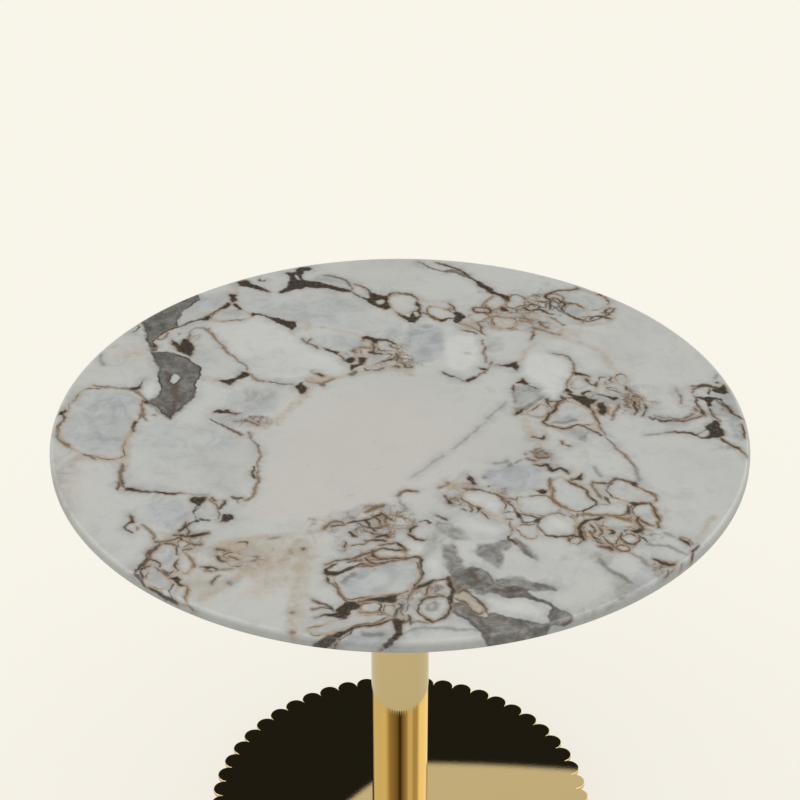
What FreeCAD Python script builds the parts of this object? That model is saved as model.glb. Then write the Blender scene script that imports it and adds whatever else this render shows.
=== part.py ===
import FreeCAD, Part
import math
import os

# Wine table: a round printed glass top on a gold column, on a scalloped gold base plate.
# Millimetres, +Z up. The origin is on the floor, under the column's axis.

# Room round every round piece that goes into a hole
FIT_CLEARANCE = 0.2

# Glass top: its upper edge is rounded over a share of the thickness, its lower one is only broken
TOP_DIAMETER = 500.0
GLASS_THICKNESS = 8.0
GLASS_ROUNDED_SHARE = 0.43
GLASS_EDGE_BREAK = 0.8

# Film on the underside of the glass, and the bare rim that it leaves
FILM_THICKNESS = 0.4
FILM_MARGIN = 6.0

# Adhesive pad, set in from the rim of the mounting plate
BOND_THICKNESS = 0.8
BOND_MARGIN = 5.0

# Mounting plate under the glass
MOUNT_DIAMETER = 160.0
MOUNT_THICKNESS = 5.0
MOUNT_CHAMFER = 1.0

# Clinch stud: its head lies flush in the mounting plate, its shank screws into the upper plug
TOP_STUD_DIAMETER = 12.0
TOP_STUD_REACH = 22.0
TOP_STUD_HEAD_DIAMETER = 18.0
TOP_STUD_HEAD_THICKNESS = 2.0
TOP_STUD_CHAMFER = 1.2
TOP_STUD_END_ROOM = 2.0

# Column
COLUMN_DIAMETER = 45.0
COLUMN_WALL = 1.5
COLUMN_LENGTH = 354.0
COLUMN_CHAMFER = 0.4
UPPER_PLUG_LENGTH = 28.0
LOWER_PLUG_LENGTH = 22.0
PLUG_CHAMFER = 0.8

# Rings at the two ends of the column: they cover its wall and the rim of the plug
GASKET_THICKNESS = 0.5
GASKET_INSET = 0.4
GASKET_OVERLAP = 2.5

# Scalloped base plate: the notches lie on one circle and each lobe is an arc between two of them.
# The fullness is a lobe's height over half its width, so a fullness of 1 is a half circle.
NOTCH_RADIUS = 147.0
LOBE_COUNT = 54
LOBE_FULLNESS = 0.88
FIRST_LOBE_ANGLE = 1.65
BASE_THICKNESS = 3.0

# Weight disc under the base plate
WEIGHT_DIAMETER = 232.0
WEIGHT_THICKNESS = 8.0
WEIGHT_CHAMFER = 1.0

# Countersunk screws from below into the lower plug
SCREW_COUNT = 3
SCREW_ANGLE = 90.0
SCREW_DIAMETER = 6.0
SCREW_REACH = 13.0
SCREW_END_ROOM = 2.0
SCREW_RIM = 4.8
SCREW_HEAD_DIAMETER = 12.0
SCREW_SINK = 0.3
SOCKET_WIDTH = 4.0
SOCKET_DEPTH = 2.0

# Studs welded under the base plate, with a washer and a thin nut in a pocket of the weight disc
WELD_STUD_COUNT = 4
WELD_STUD_CIRCLE_RADIUS = 72.0
WELD_STUD_ANGLE = 45.0
WELD_STUD_DIAMETER = 5.0
WELD_FLANGE_DIAMETER = 6.5
WELD_FLANGE_THICKNESS = 0.8
WELD_STUD_END = 0.4
WASHER_DIAMETER = 10.0
WASHER_THICKNESS = 1.0
NUT_WIDTH = 8.0
NUT_THICKNESS = 2.7
POCKET_COVER = 0.6
POCKET_ROOM = 1.0

# Pads that the table stands on
PAD_COUNT = 6
PAD_ANGLE = 0.0
PAD_DIAMETER = 26.0
PAD_THICKNESS = 3.0
PAD_EDGE_RADIUS = 0.8
PAD_MARGIN = 4.0

# Heights, from the floor up
weight_bottom = PAD_THICKNESS
base_bottom = weight_bottom + WEIGHT_THICKNESS
base_top = base_bottom + BASE_THICKNESS
column_bottom = base_top + GASKET_THICKNESS
column_top = column_bottom + COLUMN_LENGTH
mount_bottom = column_top + GASKET_THICKNESS
mount_top = mount_bottom + MOUNT_THICKNESS
film_bottom = mount_top + BOND_THICKNESS
glass_bottom = film_bottom + FILM_THICKNESS

# Radii that follow from the sizes above
top_radius = TOP_DIAMETER / 2
mount_radius = MOUNT_DIAMETER / 2
column_radius = COLUMN_DIAMETER / 2
column_bore_radius = column_radius - COLUMN_WALL
plug_radius = column_bore_radius - FIT_CLEARANCE
gasket_bore_radius = plug_radius - GASKET_OVERLAP
weight_radius = WEIGHT_DIAMETER / 2
screw_circle_radius = plug_radius - SCREW_RIM - SCREW_DIAMETER / 2
screw_head_height = (SCREW_HEAD_DIAMETER - SCREW_DIAMETER) / 2
pad_circle_radius = weight_radius - PAD_MARGIN - PAD_DIAMETER / 2
pocket_depth = WASHER_THICKNESS + NUT_THICKNESS + WELD_STUD_END + POCKET_COVER
pocket_top = weight_bottom + pocket_depth

AXIS = FreeCAD.Vector(0, 0, 1)
ORIGIN = FreeCAD.Vector(0, 0, 0)
LEVEL_TOLERANCE = 1e-6


def on_circle(radius, angle, z=0.0):
    """The point at an angle in degrees on a circle about the column's axis."""
    turn = math.radians(angle)
    return FreeCAD.Vector(radius * math.cos(turn), radius * math.sin(turn), z)


def ring_of_points(count, radius, first_angle):
    """Points spread evenly on a circle about the column's axis."""
    return [on_circle(radius, first_angle + 360.0 * i / count) for i in range(count)]


def cylinder(radius, bottom, height, centre=ORIGIN):
    """An upright cylinder that starts at a height."""
    return Part.makeCylinder(radius, height, FreeCAD.Vector(centre.x, centre.y, bottom), AXIS)


def cone(low_radius, high_radius, bottom, height, centre=ORIGIN):
    """An upright cone frustum that starts at a height."""
    foot = FreeCAD.Vector(centre.x, centre.y, bottom)
    return Part.makeCone(low_radius, high_radius, height, foot, AXIS)


def tube(outer_radius, inner_radius, bottom, height):
    """An upright tube that starts at a height."""
    return cylinder(outer_radius, bottom, height).cut(cylinder(inner_radius, bottom, height))


def hexagon(width, bottom, height, centre):
    """An upright hexagonal prism, given by its width across flats."""
    corner_radius = width / math.sqrt(3)
    corners = [on_circle(corner_radius, 60.0 * i) for i in range(6)]
    points = [FreeCAD.Vector(centre.x + c.x, centre.y + c.y, bottom) for c in corners]
    outline = Part.makePolygon(points + points[:1])
    return Part.Face(outline).extrude(FreeCAD.Vector(0, 0, height))


def round_edges(solid, level):
    """The circular edges of a solid that lie at a height."""
    return [
        edge
        for edge in solid.Edges
        if abs(edge.BoundBox.ZMin - level) < LEVEL_TOLERANCE
        and abs(edge.BoundBox.ZMax - level) < LEVEL_TOLERANCE
    ]


def widest_edge(solid, level):
    """The longest circular edge at a height."""
    return [max(round_edges(solid, level), key=lambda edge: edge.Length)]


def glass_top():
    """Printed glass disc with a rounded upper edge and a broken lower one."""
    disc = cylinder(top_radius, glass_bottom, GLASS_THICKNESS)
    upper_edge = round_edges(disc, glass_bottom + GLASS_THICKNESS)
    disc = disc.makeFillet(GLASS_ROUNDED_SHARE * GLASS_THICKNESS, upper_edge)
    return disc.makeFillet(GLASS_EDGE_BREAK, round_edges(disc, glass_bottom))


def backing_film():
    """Opaque film under the glass."""
    return cylinder(top_radius - FILM_MARGIN, film_bottom, FILM_THICKNESS)


def bond_pad():
    """Adhesive pad between the film and the mounting plate."""
    return cylinder(mount_radius - BOND_MARGIN, mount_top, BOND_THICKNESS)


def mount_plate():
    """Steel disc, bored and counterbored for the stud."""
    plate = cylinder(mount_radius, mount_bottom, MOUNT_THICKNESS)
    plate = plate.makeChamfer(MOUNT_CHAMFER, round_edges(plate, mount_bottom))
    seat = mount_top - TOP_STUD_HEAD_THICKNESS
    shank_hole = cylinder(TOP_STUD_DIAMETER / 2 + FIT_CLEARANCE, mount_bottom, MOUNT_THICKNESS)
    head_hole = cylinder(
        TOP_STUD_HEAD_DIAMETER / 2 + FIT_CLEARANCE, seat, TOP_STUD_HEAD_THICKNESS
    )
    return plate.cut(shank_hole).cut(head_hole)


def top_stud():
    """Headed stud that hangs from the mounting plate into the column."""
    tip = mount_bottom - TOP_STUD_REACH
    seat = mount_top - TOP_STUD_HEAD_THICKNESS
    shank = cylinder(TOP_STUD_DIAMETER / 2, tip, seat - tip)
    shank = shank.makeChamfer(TOP_STUD_CHAMFER, round_edges(shank, tip))
    head = cylinder(TOP_STUD_HEAD_DIAMETER / 2, seat, TOP_STUD_HEAD_THICKNESS)
    return shank.fuse(head).removeSplitter()


def gasket(bottom):
    """Thin ring against one end of the column."""
    outer_radius = column_radius - GASKET_INSET
    return tube(outer_radius, gasket_bore_radius, bottom, GASKET_THICKNESS)


def column_tube():
    """Round tube with broken outer edges at its ends."""
    body = tube(column_radius, column_bore_radius, column_bottom, COLUMN_LENGTH)
    ends = widest_edge(body, column_bottom) + widest_edge(body, column_top)
    return body.makeChamfer(COLUMN_CHAMFER, ends)


def upper_plug():
    """Plug flush with the column's upper end, tapped for the stud."""
    bottom = column_top - UPPER_PLUG_LENGTH
    plug = cylinder(plug_radius, bottom, UPPER_PLUG_LENGTH)
    plug = plug.makeChamfer(PLUG_CHAMFER, round_edges(plug, bottom))
    depth = TOP_STUD_REACH - GASKET_THICKNESS + TOP_STUD_END_ROOM
    thread = cylinder(TOP_STUD_DIAMETER / 2 + FIT_CLEARANCE, column_top - depth, depth)
    return plug.cut(thread)


def screw_points():
    """The axes of the base screws."""
    return ring_of_points(SCREW_COUNT, screw_circle_radius, SCREW_ANGLE)


def lower_plug():
    """Plug flush with the column's lower end, tapped for the base screws."""
    plug = cylinder(plug_radius, column_bottom, LOWER_PLUG_LENGTH)
    plug = plug.makeChamfer(PLUG_CHAMFER, round_edges(plug, column_bottom + LOWER_PLUG_LENGTH))
    depth = SCREW_REACH + SCREW_END_ROOM
    for point in screw_points():
        plug = plug.cut(cylinder(SCREW_DIAMETER / 2 + FIT_CLEARANCE, column_bottom, depth, point))
    return plug


def scallop_outline():
    """Closed outline of the base plate: one arc for each lobe."""
    pitch = 360.0 / LOBE_COUNT
    half_width = NOTCH_RADIUS * math.sin(math.radians(pitch / 2))
    crown_radius = NOTCH_RADIUS + LOBE_FULLNESS * half_width
    arcs = []
    for i in range(LOBE_COUNT):
        middle = FIRST_LOBE_ANGLE + pitch * i
        start = on_circle(NOTCH_RADIUS, middle - pitch / 2, base_bottom)
        crown = on_circle(crown_radius, middle, base_bottom)
        end = on_circle(NOTCH_RADIUS, middle + pitch / 2, base_bottom)
        arcs.append(Part.Arc(start, crown, end).toShape())
    return Part.Wire(arcs)


def base_plate():
    """Scalloped plate with clearance holes for the base screws."""
    plate = Part.Face(scallop_outline()).extrude(FreeCAD.Vector(0, 0, BASE_THICKNESS))
    for point in screw_points():
        hole = cylinder(SCREW_DIAMETER / 2 + FIT_CLEARANCE, base_bottom, BASE_THICKNESS, point)
        plate = plate.cut(hole)
    return plate


def stud_points():
    """The axes of the weld studs."""
    return ring_of_points(WELD_STUD_COUNT, WELD_STUD_CIRCLE_RADIUS, WELD_STUD_ANGLE)


def weight_disc():
    """Steel disc with countersinks for the screws and pockets for the nuts."""
    disc = cylinder(weight_radius, weight_bottom, WEIGHT_THICKNESS)
    disc = disc.makeChamfer(WEIGHT_CHAMFER, round_edges(disc, weight_bottom))
    shank_radius = SCREW_DIAMETER / 2 + FIT_CLEARANCE
    head_radius = SCREW_HEAD_DIAMETER / 2 + FIT_CLEARANCE
    head_bottom = weight_bottom + SCREW_SINK
    for point in screw_points():
        disc = disc.cut(cylinder(shank_radius, weight_bottom, WEIGHT_THICKNESS, point))
        disc = disc.cut(cone(head_radius, shank_radius, head_bottom, screw_head_height, point))
        disc = disc.cut(cylinder(head_radius, weight_bottom, SCREW_SINK, point))
    flange_radius = WELD_FLANGE_DIAMETER / 2 + FIT_CLEARANCE
    pocket_radius = WASHER_DIAMETER / 2 + POCKET_ROOM
    for point in stud_points():
        disc = disc.cut(cylinder(flange_radius, weight_bottom, WEIGHT_THICKNESS, point))
        disc = disc.cut(cylinder(pocket_radius, weight_bottom, pocket_depth, point))
    return disc


def base_screws():
    """Countersunk screws with a hexagon socket in the head."""
    screws = []
    head_bottom = weight_bottom + SCREW_SINK
    tip = column_bottom + SCREW_REACH
    for point in screw_points():
        shank = cylinder(SCREW_DIAMETER / 2, head_bottom, tip - head_bottom, point)
        head = cone(
            SCREW_HEAD_DIAMETER / 2, SCREW_DIAMETER / 2, head_bottom, screw_head_height, point
        )
        socket = hexagon(SOCKET_WIDTH, head_bottom, SOCKET_DEPTH, point)
        screws.append(shank.fuse(head).removeSplitter().cut(socket))
    return Part.Compound(screws)


def weld_studs():
    """Flanged studs that hang from the underside of the base plate."""
    studs = []
    tip = pocket_top - WASHER_THICKNESS - NUT_THICKNESS - WELD_STUD_END
    flange_bottom = base_bottom - WELD_FLANGE_THICKNESS
    for point in stud_points():
        shank = cylinder(WELD_STUD_DIAMETER / 2, tip, base_bottom - tip, point)
        flange = cylinder(WELD_FLANGE_DIAMETER / 2, flange_bottom, WELD_FLANGE_THICKNESS, point)
        studs.append(shank.fuse(flange).removeSplitter())
    return Part.Compound(studs)


def stud_washers():
    """Washers against the roofs of the pockets."""
    bottom = pocket_top - WASHER_THICKNESS
    bore_radius = WELD_STUD_DIAMETER / 2 + FIT_CLEARANCE
    washers = []
    for point in stud_points():
        disc = cylinder(WASHER_DIAMETER / 2, bottom, WASHER_THICKNESS, point)
        washers.append(disc.cut(cylinder(bore_radius, bottom, WASHER_THICKNESS, point)))
    return Part.Compound(washers)


def stud_nuts():
    """Thin hexagon nuts under the washers."""
    bottom = pocket_top - WASHER_THICKNESS - NUT_THICKNESS
    bore_radius = WELD_STUD_DIAMETER / 2 + FIT_CLEARANCE
    nuts = []
    for point in stud_points():
        nut = hexagon(NUT_WIDTH, bottom, NUT_THICKNESS, point)
        nuts.append(nut.cut(cylinder(bore_radius, bottom, NUT_THICKNESS, point)))
    return Part.Compound(nuts)


def foot_pads():
    """Round pads under the rim of the weight disc."""
    pads = []
    for point in ring_of_points(PAD_COUNT, pad_circle_radius, PAD_ANGLE):
        pad = cylinder(PAD_DIAMETER / 2, 0.0, PAD_THICKNESS, point)
        pads.append(pad.makeFillet(PAD_EDGE_RADIUS, round_edges(pad, 0.0)))
    return Part.Compound(pads)


NODES = {
    "glass_top": glass_top(),
    "backing_film": backing_film(),
    "bond_pad": bond_pad(),
    "mount_plate": mount_plate(),
    "top_stud": top_stud(),
    "top_gasket": gasket(column_top),
    "upper_plug": upper_plug(),
    "column_tube": column_tube(),
    "lower_plug": lower_plug(),
    "base_gasket": gasket(base_top),
    "base_plate": base_plate(),
    "weight_disc": weight_disc(),
    "base_screws": base_screws(),
    "weld_studs": weld_studs(),
    "stud_washers": stud_washers(),
    "stud_nuts": stud_nuts(),
    "foot_pads": foot_pads(),
}

os.makedirs("parts", exist_ok=True)
for name, shape in NODES.items():
    shape.exportStep(os.path.join("parts", name + ".step"))
    print(name, len(shape.Solids), "solids", round(shape.Volume), "mm3", shape.isValid())
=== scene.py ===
import math

import bmesh
import bpy
import numpy as np
from bpy.props import FloatProperty, FloatVectorProperty, IntProperty, PointerProperty
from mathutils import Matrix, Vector


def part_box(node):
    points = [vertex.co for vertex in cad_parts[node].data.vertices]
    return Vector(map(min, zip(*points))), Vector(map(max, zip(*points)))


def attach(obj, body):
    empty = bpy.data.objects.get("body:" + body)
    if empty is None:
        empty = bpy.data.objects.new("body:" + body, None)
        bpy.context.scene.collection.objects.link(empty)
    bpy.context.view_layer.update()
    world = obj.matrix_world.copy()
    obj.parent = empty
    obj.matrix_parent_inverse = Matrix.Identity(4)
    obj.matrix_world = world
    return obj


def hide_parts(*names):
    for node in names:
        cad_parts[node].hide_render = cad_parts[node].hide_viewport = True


bl_info = {
    "name": "Wine Table",
    "version": (1, 0, 0),
    "blender": (4, 5, 0),
    "location": "View3D > Sidebar > Wine Table",
    "description": "Builds a pedestal side table with a marble-print top on its packed frame",
    "category": "Object",
}

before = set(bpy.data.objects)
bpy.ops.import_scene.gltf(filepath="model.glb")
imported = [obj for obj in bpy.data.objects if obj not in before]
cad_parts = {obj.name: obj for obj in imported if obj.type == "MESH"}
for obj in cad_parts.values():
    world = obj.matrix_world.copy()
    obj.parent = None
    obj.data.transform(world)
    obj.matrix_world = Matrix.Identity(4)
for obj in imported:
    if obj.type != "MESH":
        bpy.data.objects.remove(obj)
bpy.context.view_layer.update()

MM = 0.001
glass_low, glass_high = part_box("glass_top")
column_low, column_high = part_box("column_tube")
base_low, base_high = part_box("base_plate")
mount_low, mount_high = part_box("mount_plate")
pads_low, pads_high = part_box("foot_pads")

# The stone pattern, drawn in millimetres on the top: x to the right, y away from the viewer.
# A line is its width and its points, and a patch is its corners. A stone is its strength and its corners.
# A zone is its centre, its reach each way and its strength.
DARK_VEINS = (
    # far right cluster, right end, near left
    (1.4, 118, 185, 124, 190, 133, 179, 128, 171, 121, 179), (1.6, 97, 165, 107, 171, 113, 164, 106, 159),
    (1.8, 118, 172, 127, 159, 138, 147, 147, 142, 158, 146, 168, 156, 170, 164),
    (1.4, 145, 149, 154, 151, 164, 153), (3, 217, 40, 224, 44, 233, 43, 242, 34),
    (1.6, 217, 27, 218, 13, 220, 5), (1.8, 221, 27, 231, 25, 238, 13, 245, -1),
    (1.6, 181, 0, 193, -6, 210, -3, 219, 3), (4, 122, 34, 130, 27, 139, 25),
    (4, -160, -202, -151, -208, -142, -216), (2, -146, -140, -141, -136, -138, -130, -134, -129),
    (2, -148, -145, -138, -147, -126, -144), (1.6, -166, -187, -163, -174, -158, -158),
    # far left
    (2.2, -143, 161, -150, 154, -156, 147, -163, 142, -170, 136, -178, 130, -186, 122),
    (1.5, -206, 137, -204, 131, -207, 125), (2, -116, 213, -114, 208, -111, 211),
    (1.6, -62, 220, -55, 218, -49, 216, -45, 211, -42, 206, -40, 203), (1.5, -69, 115, -71, 109),
    (1.3, -76, 114, -71, 108, -67, 104, -62, 99),
    # far middle
    (1.6, -37, 205, -32, 201, -28, 197, -25, 192), (2, 18, 157, 22, 153, 26, 147, 31, 145),
    (1.8, -10, 183, -8, 187, -3, 189.5, 2, 189.5, 8, 187, 12, 183, 14, 178),
    (2, 31, 145, 38, 147, 43, 147), (2, 45, 157, 43, 163, 41, 168, 40, 171), (1.5, 38, 163, 43, 161),
    (2.5, 30, 243, 36, 238, 44, 234, 49, 230, 54, 223, 58, 216, 63, 209),
    (1.5, 15, 244, 20, 239, 26, 232, 32, 229, 42, 225), (1.2, 88, 186, 94, 187, 98, 183, 101, 179),
    (2.2, 57, 163, 60, 156, 66, 157, 72, 156, 73, 161, 69, 165, 62, 165, 57, 163),
    (1.8, 62, 140, 63, 132, 63, 126, 66, 121), (1.5, 50, 128, 57, 126, 60, 122), (1.8, 64, 113, 64, 106),
    (2.2, 65, 103, 65, 95), (1.6, 104, 126, 103, 119, 102, 114),
    (1.8, -20, 110, -21, 101, -20, 95, -21, 91), (1.5, -31, 101, -22, 100),
    (2, -8, 105, -6, 101, -1, 100), (2, -4, 91, -1, 86, -2, 82), (1.8, -13, 79, -6, 82, -3, 87),
    (2, -27, 69, -25, 66, -22, 68), (2, -20, 68, -16, 67, -12, 70), (2, -5, 73, -3, 74, -1, 71),
    (1.8, 2, 78, 4, 75, 3, 71, 6, 70, 9, 72, 7, 74), (1.2, -46, 90, -44, 84, -41, 80),
    (2.2, -64, 62, -60, 60, -58, 57), (2.4, 33, 64, 36, 60, 40, 57), (1, 40, 57, 44, 54, 48, 51),
    # far right
    (2.4, 145, 196, 128, 193, 122, 190, 118, 186, 117, 182, 120, 178, 121, 172, 120, 166, 118, 162),
    (2.2, 120, 180, 125, 180, 129, 176, 133, 172, 130, 168, 128, 163, 131, 158),
    (2, 133, 172, 138, 171, 142, 170, 144, 167), (2, 110, 176, 114, 174, 118, 175),
    (2.2, 112, 168, 109, 162, 105, 160), (2.8, 98, 165, 101, 162, 104, 160),
    (2.5, 108, 161, 113, 160, 115, 157, 121, 154), (1.2, 103, 175, 106, 171, 107, 165),
    (2.4, 160, 156, 165, 155, 163, 160, 167, 164),
    (2.8, 150, 146, 152, 150, 157, 151, 160, 149, 165, 147), (2, 137, 150, 138, 146, 141, 144),
    (1.6, 110, 142, 111, 136, 115, 131), (2, 126, 151), (3, 165, 182), (3, 144, 141),
    # left
    (2.4, -185, 2), (2, -177, 3), (3.2, -112, -4), (3.2, -102, -6), (2.5, -191, -5, -190, -10, -191, -18),
    (1.8, -95, 49, -88, 47, -80, 46), (2, -137, -2, -133, -6, -127, -11, -121, -16, -117, -20, -112, -24),
    (2.4, -101, -64, -102, -71, -99, -78), (1, -120, -5, -112, -4, -106, -8, -101, -10),
    # right
    (2, 84.5, 45, 83, 41, 84, 37), (1.2, 95, 45, 99, 43, 101, 40),
    (1.8, 138, 55, 140, 51, 142, 46, 144, 44, 146, 45, 147, 49), (1.6, 158, 57, 157, 53, 158, 49),
    (1.4, 153, 41, 156, 38, 160, 36, 163, 33), (2.2, 107, 26, 109, 22, 113, 21, 117, 23, 121, 26),
    (2.8, 116, 22, 114, 15, 111, 8, 108, 3, 105, -2, 103, -6), (1.4, 107, 24, 109, 18, 110, 13),
    (2, 103, -6, 106, -10, 111, -13, 116, -15, 121, -14, 125, -11, 128, -10, 131, -12, 135, -15,
     137, -18),
    (1.8, 137, -18, 140, -21, 143, -24), (3.4, 143, -24),
    (1.5, 138, 12, 140, 6, 142, 0, 142, -6, 143, -9), (2.5, 115, -31, 114, -36), (2, 116, -36, 119, -38),
    (2.2, 94, -26, 98, -26, 101, -29, 103, -25), (2.4, 171, 23, 172, 19, 171, 14, 172, 9, 170, 4),
    (1, 175, 25, 175, 18, 174, 10), (1.8, 179, 17, 178, 8, 176, 1), (2.4, 166, 16, 168, 14),
    (3.4, 172, 30), (1.8, 180, 1, 181, -4, 183, -2, 184, 1), (1.5, 193, -4, 198, -3, 202, -2),
    (1.5, 214, 13, 216, 9), (2, 186, -4, 190, -6, 193, -3, 197, -6, 199, -4, 203, -6, 205, -3),
    (2, 216, 44, 222, 44, 227, 46, 231, 45), (2, 229, 40, 228, 34, 228, 31), (3.6, 236, 49),
    (2, 217, 27, 217, 20, 217, 15), (2.6, 218, 13, 219, 8, 221, 3),
    (1.6, 225, 14, 225, 6, 228, 0, 230, -6), (2.4, 235, 26, 237, 18, 239, 12, 241, 5, 245, 0, 249, -4),
    (1.8, 246, -10, 245, -20, 245, -28), (2.4, 228, -28, 230, -33, 233, -37, 236, -40),
    (1.2, 239, -43, 241, -48, 243, -54), (3.4, 88, -48), (1.5, 92, -45, 94, -48),
    (1.2, 88, -54, 92, -57, 95, -56), (1.8, 94, -51, 97, -53, 100, -52, 104, -53, 104, -50),
    (1.5, 80, -59, 84, -56),
    (3, 94, -62, 98, -63, 101, -61, 103, -65, 105, -69, 108, -68, 110, -66, 113, -68, 116, -72),
    # near left
    (1.8, -191, -80, -189, -86, -187, -90), (2.2, -191, -86, -192, -91),
    (1.8, -137, -112, -137, -118, -138, -122), (2.4, -127, -103, -124, -106),
    (2.6, -118, -105, -119, -110, -121, -115), (1, -128, -104, -123, -112, -120, -120, -121, -126),
    (0.8, -131, -104, -135, -112, -137, -120, -136, -126), (2.2, -113, -101, -109, -104, -106, -102),
    (2.4, -133, -127, -130, -129, -127, -128), (2, -141, -130, -142, -136, -145, -141),
    (1.8, -141, -136, -139, -142, -139, -146), (2, -148, -151, -144, -148, -142, -151, -143, -146),
    (1.6, -160, -153, -156, -152, -151, -152, -147, -150), (2, -153, -154, -149, -156, -146, -157),
    (1.8, -145, -157, -144, -162, -144, -167), (1.6, -160, -160, -161, -168, -160, -171),
    (2.2, -156, -154, -159, -158, -162, -163, -163, -168, -164, -174, -166, -180, -169, -185, -170, -188),
    (2, -163, -170, -160, -173, -155, -175, -153, -179), (1.6, -164, -175, -163, -181, -160, -180),
    (2.4, -169, -183, -165, -182, -162, -182), (2.6, -170, -187, -166, -191, -164, -196, -164, -201),
    (2, -166, -185, -164, -190, -163, -196), (1.3, -156, -180, -151, -185, -147, -190),
    (1.8, -144, -175, -144, -179, -142, -183), (1.6, -143, -198, -145, -204, -144, -208, -143, -213),
    (2, -133, -220, -130, -226), (2.2, -181, -136, -179, -141, -176, -143), (1.4, -174, -139, -173, -136),
    (1.4, -137, -153, -135, -156, -130, -157, -129, -155), (2, -140, -161, -136, -160),
    (2, -119, -160, -115, -162, -112, -163), (2.2, -118, -168, -116, -173, -112, -174),
    (2, -110, -169, -104, -172), (2.2, -127, -180, -123, -181, -120, -179, -117, -182),
    (1.6, -124, -183, -121, -184), (1.6, -119, -197, -117, -193, -115, -190), (4, -62, -161),
    # near middle
    (2.2, -45, -135, -41, -135, -37, -134),
    (2.4, -34, -131, -28, -130, -24, -128, -20, -126, -16, -124, -11, -121),
    (1.5, -18, -123, -15, -128, -11, -135), (2.2, -24, -128, -20, -133, -17, -140),
    (1.8, -28, -132, -22, -137, -16, -137, -12, -136), (1.8, -24, -140, -19, -143, -13, -144),
    (2.4, -34, -141, -31, -144, -28, -148), (3, -16, -147, -10, -145, -7, -148),
    (2.4, -22, -151, -16, -150, -10, -152), (2, -36, -152, -36, -158),
    (1.2, -32, -157, -24, -155, -20, -152), (1.6, -12, -122, -8, -126, -5, -128),
    (1.4, -1, -124, 2, -123), (1.8, -12, -120, -10, -124, -9, -131), (3.2, -12, -113),
    (1.8, 3, -95, 9, -94),
    (1.8, 44, -91, 48, -91, 52, -92, 56, -94, 61, -96, 66, -98, 69, -101, 72, -103, 78, -104),
    (1.4, 37, -102, 33, -104), (2, 42, -116, 45, -117), (1.6, 47, -112, 49, -115, 48, -118),
    (2, 52, -112, 54, -116, 52, -119), (1.4, 54, -118, 57, -123, 59, -127),
    (1.6, 69, -103, 72, -107, 74, -110, 77, -115, 78, -119), (1.5, 70, -120, 74, -119, 78, -119),
    (1.8, 79, -119, 84, -122, 92, -126), (1.8, 80, -124, 81, -130, 84, -131, 90, -129),
    (1.6, 70, -127, 74, -128), (2.6, 72, -146, 71, -149, 75, -155), (2.4, 6, -142, 8, -138, 12, -135),
    (2.8, 5, -144, 8, -148, 12, -150, 16, -150), (2, 13, -129, 17, -128, 21, -132),
    (2.2, 24, -123, 28, -125, 31, -128), (2.2, -3, -153, 0, -157, 4, -163),
    (1.8, -14, -157, -8, -155, -4, -153),
    (2, -34, -171, -28, -170, -22, -166, -16, -162, -10, -160, -4, -161, 2, -162),
    (2.2, -18, -162, -17, -167, -14, -171, -8, -172, -2, -170, 4, -170, 9, -170), (3, 9, -170, 13, -169),
    (2, -22, -171, -20, -175, -14, -176, -8, -175, -4, -173), (3, -33, -174, -29, -173),
    (1.5, -48, -177, -42, -174, -36, -172, -30, -171, -25, -169),
    (3, -24, -177, -30, -180, -36, -183, -42, -187, -46, -189),
    (1.2, -44, -190, -36, -184, -26, -180, -16, -178, -8, -176, 0, -172, 4, -171),
    (1.6, -42, -198, -39, -206, -36, -212, -34, -215), (2.2, -54, -214, -48, -219, -43, -222, -40, -225),
    (1.6, -54, -223, -47, -222, -41, -224), (2, -1, -217, 1, -220, -2, -226, -4, -231),
    (1.6, -12, -219, -12, -224, -11, -228), (1.2, 2, -218, 1, -225, 2, -230),
    (1, -25, -226, -15, -227, -8, -229, -5, -231),
    (2.4, -4, -234, -10, -237, -16, -239, -24, -241, -30, -242),
    (1.5, -28, -242, -31, -248, -37, -254, -42, -262), (1.8, 2, -237, 6, -234, 6, -230),
    (1.8, 6, -233, 6, -238),
    (2, 11, -220, 13, -215, 17, -211, 24, -210.5, 30, -211, 31, -218, 31, -226, 28, -231, 22, -236,
     17, -234, 13, -229, 11, -224, 11, -220),
    (1.6, 17, -210, 17, -204, 17, -197, 22, -195, 27, -193, 30, -192, 31, -198, 32, -205, 31, -211),
    (1, 6, -209, 5, -216, 4, -226), (2, 13, -170, 14, -180, 14, -190, 12, -196, 8, -203),
    (3, 30, -190, 32, -196, 33, -203, 32, -210, 32, -217),
    (1.6, 36, -207, 39, -204, 43, -206, 46, -211, 50, -217, 53, -222, 55, -230),
    (1.6, 35, -212, 39, -216, 43, -221, 46, -226, 49, -228, 52, -226),
    # near right
    (2.2, 115, -82, 119, -86, 123, -89, 126, -92, 127, -98, 129, -103, 132, -107, 131, -111, 127, -115,
     122, -118),
    (2, 132, -83, 137, -84, 142, -86, 145, -82, 148, -79, 152, -80, 156, -82, 158, -84, 162, -86),
    (2, 138, -100, 141, -105, 141, -108), (1.8, 168, -108, 170, -115, 171, -122, 172, -127, 171, -130),
    (2, 170, -130, 171, -135), (3.6, 171, -136), (2.6, 155, -111, 153, -116, 153, -121),
    (1.4, 159, -128, 163, -132, 168, -135), (1.6, 126, -133, 128, -138, 127, -144),
    (1.6, 124, -140, 127, -148, 131, -151), (1.2, 130, -135, 133, -142, 131, -147),
    (2.6, 128, -152, 131, -154), (2, 158, -125, 157, -128, 159, -134, 160, -139),
    (1.8, 145, -143, 144, -148, 147, -152, 151, -156, 155, -153, 158, -148, 157, -145),
    (2.4, 159, -148, 161, -152), (1.5, 134, -146, 135, -152, 138, -157, 140, -161),
    (2, 129, -157, 134, -158, 138, -162), (1.2, 140, -162, 145, -163, 148, -163),
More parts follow.
